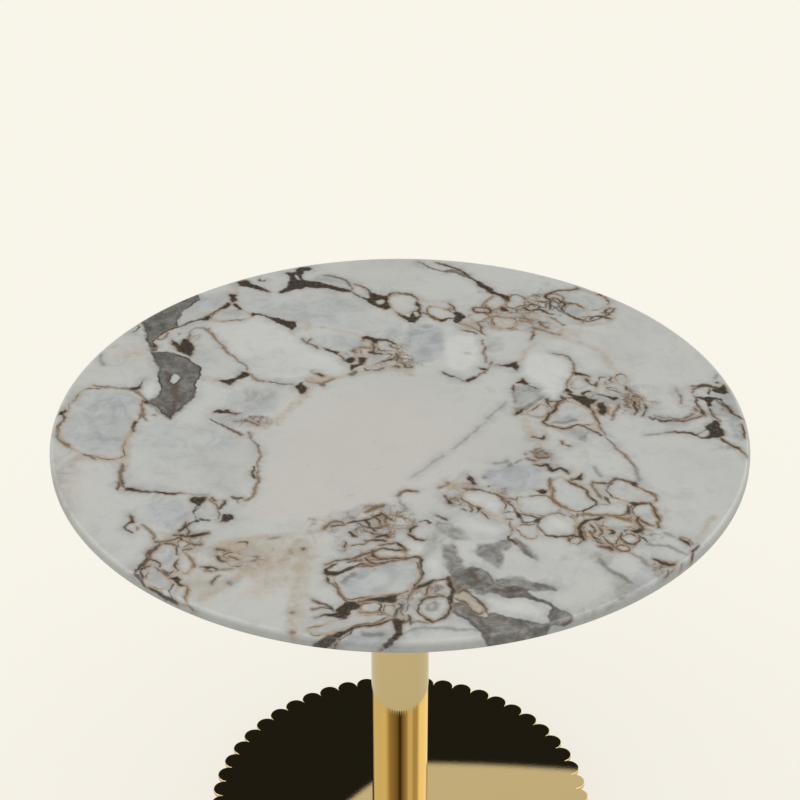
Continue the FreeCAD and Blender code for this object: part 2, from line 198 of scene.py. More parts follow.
    (2.2, 95, -146, 102, -146, 110, -147, 116, -146, 120, -148), (2, 110, -148, 111, -152),
    (2.4, 183, -149, 186, -152, 188, -157), (2.6, 194, -157, 191, -162, 189, -168, 191, -173),
    (2, 182, -177, 183, -181), (2.4, 172, -184, 170, -190), (1.6, 176, -181, 174, -186),
    (3.2, 163, -172, 167, -175, 172, -177, 176, -178), (2.8, 61, -88),
)
DARK_PATCHES = (
    # far left
    (-134, 207, -131, 203, -131, 200, -125, 200, -119, 197, -112, 193, -107, 190, -105, 190, -110, 196,
     -116, 202, -121, 206, -123, 210, -127, 212),
    (-96, 224, -91, 220, -91, 203, -94, 197, -99, 191, -94, 188, -89, 192, -86, 196, -79, 196, -76, 199,
     -70, 198, -61, 197, -53, 194, -46, 191, -39, 190, -40, 193, -47, 198, -55, 203, -62, 206, -70, 210,
     -78, 211, -80, 214, -80, 227, -74, 227, -72, 231, -74, 234, -83, 234, -87, 231, -87, 225),
    (-138, 187, -134, 188, -131, 187, -132, 181, -131, 175, -134, 172, -137, 178),
    (-134, 171, -137, 174, -140, 171, -143, 165, -145, 158, -139, 164, -136, 168),
    (-133, 171, -130, 171, -126, 162, -128, 160, -132, 166),
    (-152, 154, -150, 149, -151, 143, -155, 144, -158, 146),
    (-118, 157, -112, 155, -106, 152, -98, 148, -88, 144, -82, 142, -81, 135, -84, 128, -87, 132,
     -94, 137, -101, 144, -107, 150, -115, 153, -118, 150),
    (-176, 113, -173, 111, -170, 104, -168, 113, -166, 115, -163, 112, -160, 108, -158, 100, -158, 90,
     -160, 86, -165, 92, -170, 96, -172, 102, -176, 106),
    (-191, 108, -189, 109, -187, 104, -189, 101, -191, 103),
    # far middle
    (-26, 193, -22, 189, -14, 186, -10, 184, -9, 172, -8, 165, -8, 162, -11, 161, -17, 165, -24, 172,
     -31, 180, -37, 187, -39, 191, -36, 189, -31, 183, -26, 179, -24, 184),
    (-3, 158, -1, 152, 3, 145, 7, 141, 12, 140, 15, 147, 17, 154, 17, 161, 16, 170, 15, 175, 13, 175,
     12.5, 171, 14, 166, 14, 160, 10, 158, 9, 153, 7, 148, 4, 152, 0, 154.5),
    (42, 155, 45, 158, 49, 155, 52, 150, 50, 145, 46, 140, 43, 140, 42, 146, 43, 150),
    (30, 145, 33, 141, 36, 142, 38, 147), (79, 161, 80, 167, 83, 166, 87, 160, 83, 158),
    (60, 209, 64, 211, 68, 206, 73, 198, 79, 189, 84, 187, 88, 186, 88, 180, 87, 174, 84, 177, 82, 182,
     78, 185, 74, 188, 66, 199),
    (70, 74, 80, 76, 89, 80, 90, 73, 88, 65, 84, 71, 76, 73), (58, 70, 62, 71, 66, 69, 63, 66),
    (-30, 118, -26, 118.5, -18, 115, -8, 113, -4, 109, -3, 106, -6, 107, -9, 110, -16, 112, -17, 107,
     -20, 108, -22, 112, -27, 114, -28, 110),
    (-24, 92, -22, 96, -19, 94, -14, 93, -13, 91, -20, 90),
    (-42, 82, -38, 86, -34, 86, -33, 82, -37, 78, -40, 78),
    (-32, 86, -28, 87, -25, 83, -26, 78, -29, 74, -34, 70, -36, 66, -38, 72, -39, 77, -35, 75, -31, 77,
     -31, 82),
    (-59, 101, -53, 98, -45, 95, -47, 92, -46, 89, -49, 92, -56, 96),
    (159, 186, 161, 188, 164, 184, 162, 183),
    # left
    (-190, 54, -192, 46, -193, 39, -195, 37, -199, 38, -201, 40, -197, 42, -194, 45, -192, 50),
    (-187, 25, -184, 23, -183, 20, -186, 19, -188, 21),
    (-247, 6, -244, 13, -242, 9, -243, 5, -240, 0, -242, -2, -244, 3, -247, 3),
    (-118, 66, -114, 63, -112, 60, -117, 56, -121, 53, -124, 48, -126, 45, -130, 47, -136, 53, -130, 53,
     -125, 54, -121, 60),
    (-79, 42, -75, 47, -72, 51, -71, 46, -69, 39, -70, 33, -73, 33, -76, 38),
    (-136, 8, -133, 11, -129, 9, -126, 12, -123, 9, -119, 6, -113, 6, -118, 4, -124, 6, -130, 5, -135, 6),
    # right
    (48, 51, 52, 56, 55, 59, 58, 57, 55, 53, 51, 50),
    (91, 56, 89, 52, 86, 48, 90, 47, 95, 45, 96, 48, 93, 52), (83, 6, 85, 9, 90, 12, 89, 8, 87, 4, 84, 3),
    (131, 66, 133, 64, 137, 63, 141, 60, 142, 57, 138, 59, 134, 60, 130, 58),
    (166, 43, 168, 45, 168, 39, 170, 37, 166, 39),
    (121, 37, 123, 41, 126, 39, 128, 35, 126, 31, 125, 34, 123, 36, 121, 34),
    (133, 34, 136, 37, 140, 37, 142, 35, 138, 34, 136, 31, 133, 32),
    (144, 33, 149, 32, 154, 30, 159, 28, 160, 25, 157, 23, 154, 26, 149, 29),
    (120, 29, 126, 28, 132, 31, 136, 30, 139, 26, 144, 25, 143, 21, 140, 18, 138, 11, 135, 16, 130, 22,
     126, 26, 121, 27),
    (144, 18, 145, 20, 149, 21, 150, 14, 150, 8, 148, 3, 146, 3, 143, 7, 145, 13),
    (117, 26, 119, 32, 121, 29, 121, 26),
    (230, 42, 233, 40, 237, 43, 240, 46, 243, 35, 240, 32, 235, 34, 231, 36),
    (214, 30, 219, 29, 226, 29, 231, 27, 236, 26, 236, 23, 230, 24, 228, 20, 228, 14, 225, 14, 224, 20,
     222, 25, 218, 26),
    (226, -3, 229, -6, 230, -12, 231, -20, 230, -25, 226, -28, 220, -28, 214, -28, 211, -26, 212, -23,
     214, -20, 217, -16, 219, -13, 221, -8),
    (188, -21, 195, -19, 201, -18, 207, -20, 212, -23, 213, -27, 208, -24, 203, -21, 196, -20.5),
    (235, -38, 240, -38, 239, -43, 237, -41),
    # near left
    (-187, -90, -184, -90, -178, -92, -170, -94, -160, -95, -152, -96, -145, -97, -152, -98, -160, -98,
     -170, -96, -180, -95, -186, -94),
    (-138, -100, -131, -101, -130, -104, -133, -109, -136, -112, -139, -109, -142, -107, -141, -103),
    (-119, -121, -111, -122, -111, -127, -114, -131, -119, -130),
    (-140, -146, -135, -143, -129, -142, -125, -141, -127, -144, -132, -147, -137, -147.5),
    (-180, -122, -178, -123, -177, -128, -175, -131, -178, -133, -181, -137, -182, -135, -179, -130),
    (-146, -192, -141, -189, -138, -193, -139, -196, -135, -199, -141, -200, -142, -195),
    (-158, -201, -153, -206, -147, -211, -143, -214, -142, -219, -146, -217, -152, -211, -156, -207),
    # near middle
    (45, -80, 47, -74, 50, -78, 52, -84, 53, -87, 50, -86, 48, -82),
    (28, -97, 31, -103, 33, -110, 36, -109, 35, -105, 32, -102, 30, -98),
    (76, -118, 79, -118, 81, -122, 80, -126, 77, -124), (-4, -151, 1, -155, 3, -160, 0, -159, -3, -156),
    (-48, -183, -44, -178, -40, -176, -42, -180, -46, -184, -40, -185, -34, -181, -28, -179, -30, -182,
     -38, -187, -45, -190, -49, -188),
    (-48, -190, -46, -191, -44, -196, -41, -199, -44, -198, -47, -195),
    (-34, -215, -30, -216, -25, -219, -25, -223, -29, -225, -31, -229, -35, -233, -40, -232, -45, -231,
     -50, -231, -54, -232, -48, -229, -42, -228, -39, -226, -40, -223, -37, -220),
    (-28, -218, -22, -214, -16, -211, -10, -211, -4, -210, 0, -208, -2, -212, -3, -217, -8, -217,
     -12, -218, -16, -214, -22, -216),
    (-6, -233, -3, -231, 0, -234, 3, -233, 2, -238, 2, -246, -2, -254, -8, -262, -14, -266, -10, -258,
     -5, -250, -3, -244, -4, -238),
    (-30, -241, -35, -244, -40, -247, -46, -251, -54, -257, -58, -262, -44, -262, -38, -253, -32, -246,
     -26, -242.5),
    (14, -197, 18, -195, 24, -193, 20, -198, 16, -200, 11, -203, 8, -206, 6, -209, 8, -204, 12, -199),
    (11, -170, 14, -169, 15, -180, 13, -182), (30, -210, 34, -209, 34, -216, 31, -216),
    # near right
    (117, -79, 121, -77, 124, -74, 126, -72, 125, -77, 124, -81, 119, -80, 115, -82),
    (92, -93, 96, -91, 100, -93, 98, -97, 95, -98), (157, -83, 161, -83, 163, -86, 162, -90, 159, -89),
    (153, -107, 157, -107, 160, -109, 165, -108, 169, -107, 166, -110, 160, -111, 157, -112, 155, -110),
    (117, -138, 118, -133, 121, -129, 125, -127, 129, -126, 132, -123, 136, -125, 132, -128, 127, -129,
     124, -131, 121, -134, 120, -139, 120, -145, 122, -150, 121, -153, 119, -149, 116, -146),
    (136, -138, 140, -138, 142, -141, 140, -144, 136, -144, 138, -141),
    (151, -140, 155, -138, 158, -136, 160, -140, 157, -143, 153, -142),
    (86, -130, 90, -127, 94, -126, 92, -131, 90, -133),
)
PALE_HOLES = (
    (-86, 222, -85, 213, -82, 210.5, -83, 218), (-20, 176, -16, 178, -12, 176, -12, 171, -17, 170),
    (11, 157, 15, 157, 15, 152, 12, 150), (-171, 62, -168, 62, -164, 55, -166, 50, -168, 46, -171, 50),
    (137, 31, 139, 34, 143, 34, 145, 31, 143, 28, 139, 28),
    (144, 26, 147, 30, 151, 29, 152, 25, 149, 22, 145, 23), (120, 33, 122, 36, 124, 33, 122, 30),
    (212, -25, 215, -19, 219, -16, 220, -20, 218, -26),
)
RUST_VEINS = (
    (1.2, -164, 112, -164, 122, -162, 130, -157, 133, -152, 131, -149, 126),
    (1.2, -190, 117, -185, 112, -182, 118, -180, 124), (1, -40, 203, -39.5, 196, -39, 191),
    (1.2, 75, 185, 71, 179, 68, 172, 65, 166), (1, 64, 95, 65, 85, 66, 79), (1, 70, 79, 67, 73, 64, 62),
    (1.4, 118, 92, 124, 90, 129, 85, 131, 80, 131, 73, 132, 66),
    (1.2, -199, 40, -207, 41, -215, 42, -222, 43, -228, 45),
    (1.3, -194, 37, -191, 32, -189, 28, -187, 25),
    (1.5, -242, -2, -245, -10, -245, -20, -242, -28, -238, -34, -234, -38),
    (1.2, -188, 18, -187, 8, -185, 2, -183, -4), (2.5, -193, -60, -192, -70, -192, -80, -191, -88),
    (2.5, -222, -48, -216, -52, -213, -55), (1.3, -112, 60, -109, 54, -107, 52, -100, 51, -95, 49),
    (3, -172, 122), (4, 92, 161), (2.4, 144, 198),
    (1.6, -108, -20, -105, -28, -101, -36, -98, -44, -98, -55, -99, -62),
    (1.3, -150, 131, -146, 120, -140, 110, -134, 98, -128, 88, -120, 78, -115, 70, -114, 66),
    (6, -58, 46), (3, -38, 60, -35, 62, -33, 66), (1.5, 57, 57, 61, 61, 65, 66),
    (1.2, 131, 65, 129, 60, 127, 54, 124, 47, 123, 42), (1, 153, 50, 153, 47), (2, 149, 20, 149.5, 9),
    (1.4, 152, -3, 155, 4, 158, 12, 160, 18), (1.2, 163, 24, 167, 20), (1.4, 217, 38, 216, 34),
    (1.2, 184, 3, 190, -1, 196, -1, 202, -2, 207, 0, 210, 2, 213, 5),
    (1.2, 142, -6, 144, -16, 146, -25, 150, -35, 154, -44, 158, -52, 161, -58, 162, -65),
    (1.3, -99, -62, -97, -80, -98, -90, -99, -97, -101, -103, -105, -106), (1.6, -109, -104, -109, -108),
    (1.2, -170, -133, -166, -138, -162, -145, -160, -150),
    (1, -140, -162, -136, -168, -133, -175, -131, -181), (1, -134, -200, -134, -210, -133, -217),
    (1, -118, -184, -110, -183, -107, -182), (2, -136, -128, -134, -130),
    (2.6, -1, -99, 0, -96, 4, -94, 8, -94, 11, -94), (1.5, 26, -90, 30, -88, 33, -85, 32, -83),
    (2.5, -50, -138, -46, -131, -40, -129, -36, -133), (3, -22, -118, -18, -114, -12, -111),
    (3, 73, -106), (1, 73, -130, 73, -138, 73, -145), (1, 5, -237, 12, -236, 17, -237), (2.4, -66, -227),
    (5, -66, -246), (1.3, 104, -90, 103, -100, 105, -108, 109, -114, 115, -117, 121, -118),
    (1.5, 102, -78, 103, -88, 101, -92), (1.4, 162, -88, 167, -93, 171, -97, 173, -101, 173, -105),
    (1.6, 132, -83, 131, -90, 134, -97, 137, -103),
    (1.6, 121, -122, 130, -122, 140, -123, 148, -126, 153, -129),
    (1.6, 92, -127, 91, -134, 93, -140, 95, -145), (1, 93, -126, 97, -122, 104, -120, 110, -123),
    (1.4, 184, -147, 188, -148), (1.6, 190, -156, 189, -150), (1.2, -70, 52, -63, 47, -56, 48, -50, 55),
    (1, 60, 140, 66, 146, 72, 150, 80, 150, 90, 147), (1, 92, 160, 96, 152, 100, 146, 108, 142),
    (1.2, 118, 150, 124, 143, 128, 136), (1, 84, 160, 90, 156, 98, 155, 104, 158),
    (1, 104, 132, 110, 128, 118, 124, 124, 121), (1, 46, 140, 52, 136, 58, 130, 62, 126),
    (1, 168, 40, 172, 34, 176, 28, 178, 22), (1, 163, 30, 168, 26, 172, 22),
    (1, 204, 40, 206, 30, 206, 20),
)
TAN_STAINS = (
    (1.5, -150, 143, -140, 144, -130, 142), (2, -134, 200, -133, 190), (1.5, -84, 128, -84, 120),
    (4, -81, 142, -74, 144, -71, 137, -73, 129),
    (0.9, -70, 136, -60, 132, -52, 131, -47, 127, -40, 124, -32, 121),
    (3, 18, 176, 27, 174, 35, 174.5, 42, 176), (2.5, 107, 107, 100, 102, 96, 95, 93, 85, 91, 78),
    (2.5, 133, 143, 138, 139, 144, 137, 152, 138, 160, 138, 165, 142, 168, 150, 170, 158, 166, 167),
    (2.5, 118, 117, 127, 116, 133, 112, 140, 107, 148, 102, 153, 95, 156, 87, 158, 78, 160, 70, 163, 66),
    (2, 123, 122, 126, 127, 129, 129), (14, 55, 135), (16, 105, 148),
    (1.5, -228, 45, -233, 36, -238, 28, -243, 20),
    (3, -192, -20, -194, -30, -195, -40, -192, -52, -190, -63), (1.5, -212, -52, -200, -57, -191, -58),
    (1.5, -147, 57, -140, 55, -134, 53),
    (4, -68, 50, -69, 38, -71, 28, -76, 18, -84, 5, -93, -5, -97, -15), (2, -219, 105, -222, 100),
    (10, -66, 54, -62, 48), (1.5, -58, 57, -50, 56, -42, 58, -36, 60),
    (2, -30, 64, -20, 65, -10, 67, 10, 66), (4, 5, 64, 10, 58),
    (5, 89, -4, 91, -14, 93, -24, 96, -33, 98, -40), (4, 90, -46, 98, -48), (4, 140, -10, 142, -20),
    (3, 129, -38, 129, -52), (3, 209, 16), (1.2, 212, 42, 208, 35, 206, 25, 205, 16, 206, 12),
    (1.5, -157, -143, -150, -145, -145, -141),
    (2.5, -120, -156, -108, -153, -100, -150, -92, -147, -80, -146, -70, -144, -60, -142, -52, -140,
     -48, -134, -44, -130),
    (6, -114, -160, -98, -158, -84, -172, -98, -184, -112, -200, -124, -212),
    (4, -66, -150, -72, -170, -84, -182),
    (2, -66, -205, -67, -213, -65, -220, -67, -227, -65, -235, -66, -247, -64, -258), (8, 36, -88),
    (8, 70, -128), (6, 39, -208, 45, -217, 50, -226), (5, 133, -88, 134, -98),
    (1.5, 205, -128, 203, -135, 200, -142, 196, -148, 193, -154), (5, 208, -126),
    (9, 168, -174, 174, -179), (9, 128, -143), (4, 60, -120, 66, -130),
    (2, -60, -158, -63, -165, -60, -172, -65, -180, -63, -190, -67, -200, -65, -210, -69, -220,
     -67, -232, -68, -245, -65, -262),
)
GREY_PATCHES = (
    # left rim
    (-163, 187, -161, 178, -165, 170, -172, 160, -174, 150, -175, 141, -174, 134, -180, 127, -188, 118,
     -190, 109, -187, 103, -186, 97, -189, 94, -193, 104, -196, 113, -197, 122, -199, 131, -203, 139,
     -205, 145, -190, 165, -170, 186),
    # arrow head at the left
    (-191, 93, -186, 95, -177, 94, -170, 91, -163, 86, -157, 80, -152, 73, -149, 69, -149, 62, -151, 50,
     -152, 44, -150, 35, -153, 25, -158, 15, -163, 5, -166, -4, -170, 3, -176, 12, -182, 19, -185, 21,
     -183, 26, -179, 28, -177, 33, -177, 40, -179, 48, -182, 57, -181, 65, -183, 74, -186, 82),
    (36, 229, 46, 231, 52, 224, 58, 215, 62, 209, 56, 214, 49, 221, 42, 225),
    # near middle
    (33, -187, 38, -181, 42, -183, 47, -179, 52, -182, 57, -188, 60, -197, 66, -200, 71, -199, 78, -203,
     81, -203, 80, -207, 84, -210, 90, -214, 96, -220, 104, -226, 107, -232, 106, -239, 91, -241,
     91, -232, 94, -222, 90, -218, 83, -214, 75, -212, 66, -212, 58, -208, 50, -203, 44, -203, 38, -205,
     33, -209, 31, -200, 30, -190),
    (33, -217, 38, -216, 43, -222, 48, -229, 53, -231, 56, -227, 61, -228, 68, -231, 76, -234, 85, -237,
     91, -237, 94, -243, 92, -252, 82, -258, 70, -262, 56, -262, 51, -252, 45, -240, 38, -232, 33, -226,
     32, -220),
)
SMOKY_PATCHES = (
    # near middle: strength and corners
    (1.1, 28, -155, 38, -154, 39, -171, 42, -181, 51, -179, 59, -192, 62, -202, 50, -211, 43, -202,
     35, -202, 32, -190, 29, -178),
    (1.1, 58, -193, 71, -188, 78, -191, 84, -195, 91, -198, 101, -206, 89, -205, 78, -206, 70, -202,
     61, -205),
    (0.65, 22, -128, 34, -130, 45, -142, 47, -150, 35, -151, 24, -145),
    (1.2, 47, -160, 54, -154, 61, -154, 67, -150, 73, -149, 73, -158, 68, -164, 67, -174, 65, -182,
     58, -177, 52, -171),
    (1.2, 73, -148, 77, -151, 81, -158, 86, -167, 89, -174, 85, -171, 80, -165, 75, -157),
    # right, then far right, left and near right
    (0.55, 83, 46, 96, 47, 106, 40, 106, 28, 99, 17, 90, 8, 82, 7, 82, 20, 83, 34),
    (0.5, 107, -14, 118, -15, 126, -12, 133, -15, 132, -25, 129, -33, 122, -30, 113, -23),
    (0.35, 66, 120, 81, 119, 83, 108, 80, 93, 69, 91, 65, 102),
    (0.4, -118, 38, -102, 40, -94, 28, -102, 16, -114, 20),
    (0.45, 118, -158, 128, -162, 138, -170, 134, -182, 124, -176, 116, -166),
    (0.35, 132, -176, 140, -188, 150, -198, 146, -204, 136, -194, 128, -182),
)
PALE_STONES = (
    # far right, right, near right, near middle, far left
    (1.0, 34, 115, 45, 122, 55, 124, 60, 118, 62, 105, 62, 90, 60, 80, 54, 68, 46, 62, 38, 64, 33, 72,
     32, 90),
    (0.6, 102, 108, 115, 112, 128, 113, 138, 108, 148, 102, 153, 94, 156, 84, 158, 72, 150, 62, 140, 60,
     133, 68, 132, 80, 127, 88, 118, 92, 108, 97),
    (1.0, 100, 101, 110, 96, 118, 92, 126, 89, 131, 80, 131, 70, 130, 58, 124, 44, 118, 30, 112, 22,
     106, 30, 101, 45, 96, 52, 91, 62, 90, 75, 94, 90),
    (0.6, 92, -126, 97, -121, 105, -120, 112, -122, 116, -128, 116, -138, 114, -145, 108, -147, 94, -145,
     91, -132),
    (0.7, 40, -127, 50, -122, 60, -130, 68, -138, 72, -144, 68, -148, 60, -149, 50, -145, 42, -136),
    (0.7, 42, -96, 52, -93, 60, -95, 66, -99, 70, -112, 64, -124, 52, -113, 42, -104),
    (1.0, 45, -204, 49, -203, 56, -209, 64, -212, 74, -213, 84, -215, 91, -219, 93, -226, 91, -235,
     86, -236, 76, -232, 68, -228, 60, -226, 54, -219, 48, -211),
    (0.9, 15, -170, 20, -167, 27, -168, 28, -190, 22, -192, 16, -191),
    (0.8, 2, -152, 24, -153, 30, -155, 28, -162, 18, -165, 10, -168, 6, -164, 3, -158),
    (0.6, -157, 138, -136, 144, -114, 149, -98, 144, -83, 128, -69, 106, -53, 91, -37, 72, -37, 64,
     -72, 51, -106, 51, -117, 59, -130, 80, -146, 106),
    (0.7, -191, 53, -189, 60, -178, 47, -177, 35, -180, 29, -186, 26, -190, 30, -193, 38),
)
GREY_LINES = (
    # streaks and edges of the arrow head
    (3, -175, 64, -173, 54, -171, 45), (5, -168, 46, -166, 36, -164, 25),
    (2, -164, 25, -165, 12, -166, -2), (1.6, -185, 20, -176, 10, -167, -2),
    (1.2, -151, 33, -157, 17, -165, -3),
    (1.3, -203, 139, -199, 131, -196, 114, -190, 95, -186, 82, -183, 73), (1.5, -229, 90, -225, 75),
    # hairline across the cream stone
    (0.2, 78, 20, 72, 12, 66, 3, 63, -2), (0.3, 61, -7, 57, -13, 52, -20, 46, -29, 40, -38, 38, -41),
    (0.2, 30, -50, 22, -60, 16, -68, 8, -78),
    # right
    (0.8, 84, 37, 83, 28, 84, 22), (1.2, 105, 28, 100, 22, 94, 15, 90, 10),
    (1, 88, 4, 93, 3, 98, 1, 104, 0), (1, 82, 14, 84, 10), (3, 110, -7, 116, -8, 121, -5, 126, -4),
    (0.8, 134, -17, 132, -24, 130, -31), (1.2, 175, -24, 181, -22, 188, -21), (2, 237, 60, 235, 55),
    (1.5, 66, -60, 72, -60, 75, -57), (2, 75, -64, 77, -61), (1.5, 134, -64, 138, -75),
    (2, 162, -65, 164, -72, 163, -82), (3, 58, -78),
    # near
    (0.8, -145, -97, -138, -98, -130, -99), (2, -85, -149, -80, -148), (1.5, -71, -161, -70, -165),
    (4.4, -107, -197), (2.4, 2, -110, 3, -115), (0.8, 0, -100, 0, -109, 2, -112), (3, 44, -184, 50, -194),
    (3, 58, -204, 66, -205, 76, -204), (1.2, 32, -224, 38, -231, 45, -238, 50, -245, 54, -252),
    (3, 76, -150, 79, -155, 82, -160, 85, -166, 88, -170),
    (1.2, 2, -247, 8, -244, 16, -241, 24, -242, 34, -243, 44, -244, 50, -244),
    (3, 86, -199, 92, -200, 98, -204), (2, 17, -219, 18, -225, 22, -225, 23, -219, 20, -217, 17, -219),
    (5, 22, -203, 24, -202), (4, 103, -238, 106, -235), (4, 70, -247), (2, 88, -244, 91, -240),
    (4, -36, -196, -30, -188), (4, -22, -248, -12, -249),
    (2.5, 128, -172, 133, -182, 140, -190, 147, -197), (1.8, 150, -165, 157, -173, 160, -180),
    (4, 139, -212), (1.6, 160, -155, 172, -157, 180, -162, 186, -167), (1.4, 173, -142, 180, -148),
)
COOL_STONES = (
    (0.9, 232, 21, 242, 21, 248, -3, 245, -34, 237, -34, 234, -3),
    # far side, then round by the left and the near side to the right: strength and corners
    (0.36, -130, 194, -117, 198, -96, 190, -72, 197, -53, 194, -30, 178, -11, 160, 4, 141, 4, 117,
     -6, 114, -27, 122, -53, 130, -80, 144, -106, 154, -128, 170),
    (0.6, -74, 222, -48, 213, -40, 202, -53, 204, -72, 210),
    (0.8, 6, 140, 34, 138, 37, 100, 28, 75, 4, 75, 2, 110),
    (0.6, -69, 124, -48, 127, -27, 116, -27, 99, -48, 98, -67, 106),
    (0.4, -174, 150, -170, 160, -163, 175, -158, 188, -140, 198, -134, 190, -138, 175, -143, 164,
     -150, 156, -160, 146, -170, 137),
    (0.35, -160, 128, -149, 112, -138, 91, -122, 69, -130, 56, -146, 58, -154, 75, -158, 96),
    (0.5, -125, 43, -106, 48, -85, 35, -85, 11, -101, 0, -122, 8, -133, 22),
    (0.3, -186, -8, -167, -1, -141, -6, -114, -24, -98, -42, -97, -63, -101, -74, -97, -90, -104, -100,
     -130, -102, -154, -99, -189, -92, -191, -71, -189, -37, -191, -21),
    (0.5, -170, -98, -142, -99, -138, -125, -150, -143, -178, -133),
    (0.6, -114, -190, -107, -187, -98, -192, -99, -202, -107, -205, -114, -200),
    (0.9, -35, -190, -25, -182, -12, -180, -18, -190, -28, -205, -36, -207),
    (0.9, -32, -244, -6, -242, -5, -262, -44, -264),
    (0.8, 15, -219, 22, -215, 28, -220, 25, -230, 17, -229),
    (0.85, 58, -64, 68, -60, 84, -57, 92, -62, 100, -66, 101, -88, 96, -92, 88, -97, 78, -99, 68, -97,
     60, -88, 54, -80, 53, -72),
    (0.5, 92, -40, 108, -40, 112, -56, 100, -62),
    (0.9, 108, -3, 115, 2, 122, 10, 130, 2, 126, -6, 116, -8),
    (0.8, 234, 36, 246, 32, 249, 0, 246, -31, 236, -21, 232, 8),
    (0.6, 185, -20, 212, -14, 208, -2, 190, -6), (0.5, 140, -188, 160, -170, 176, -192, 150, -212),
)
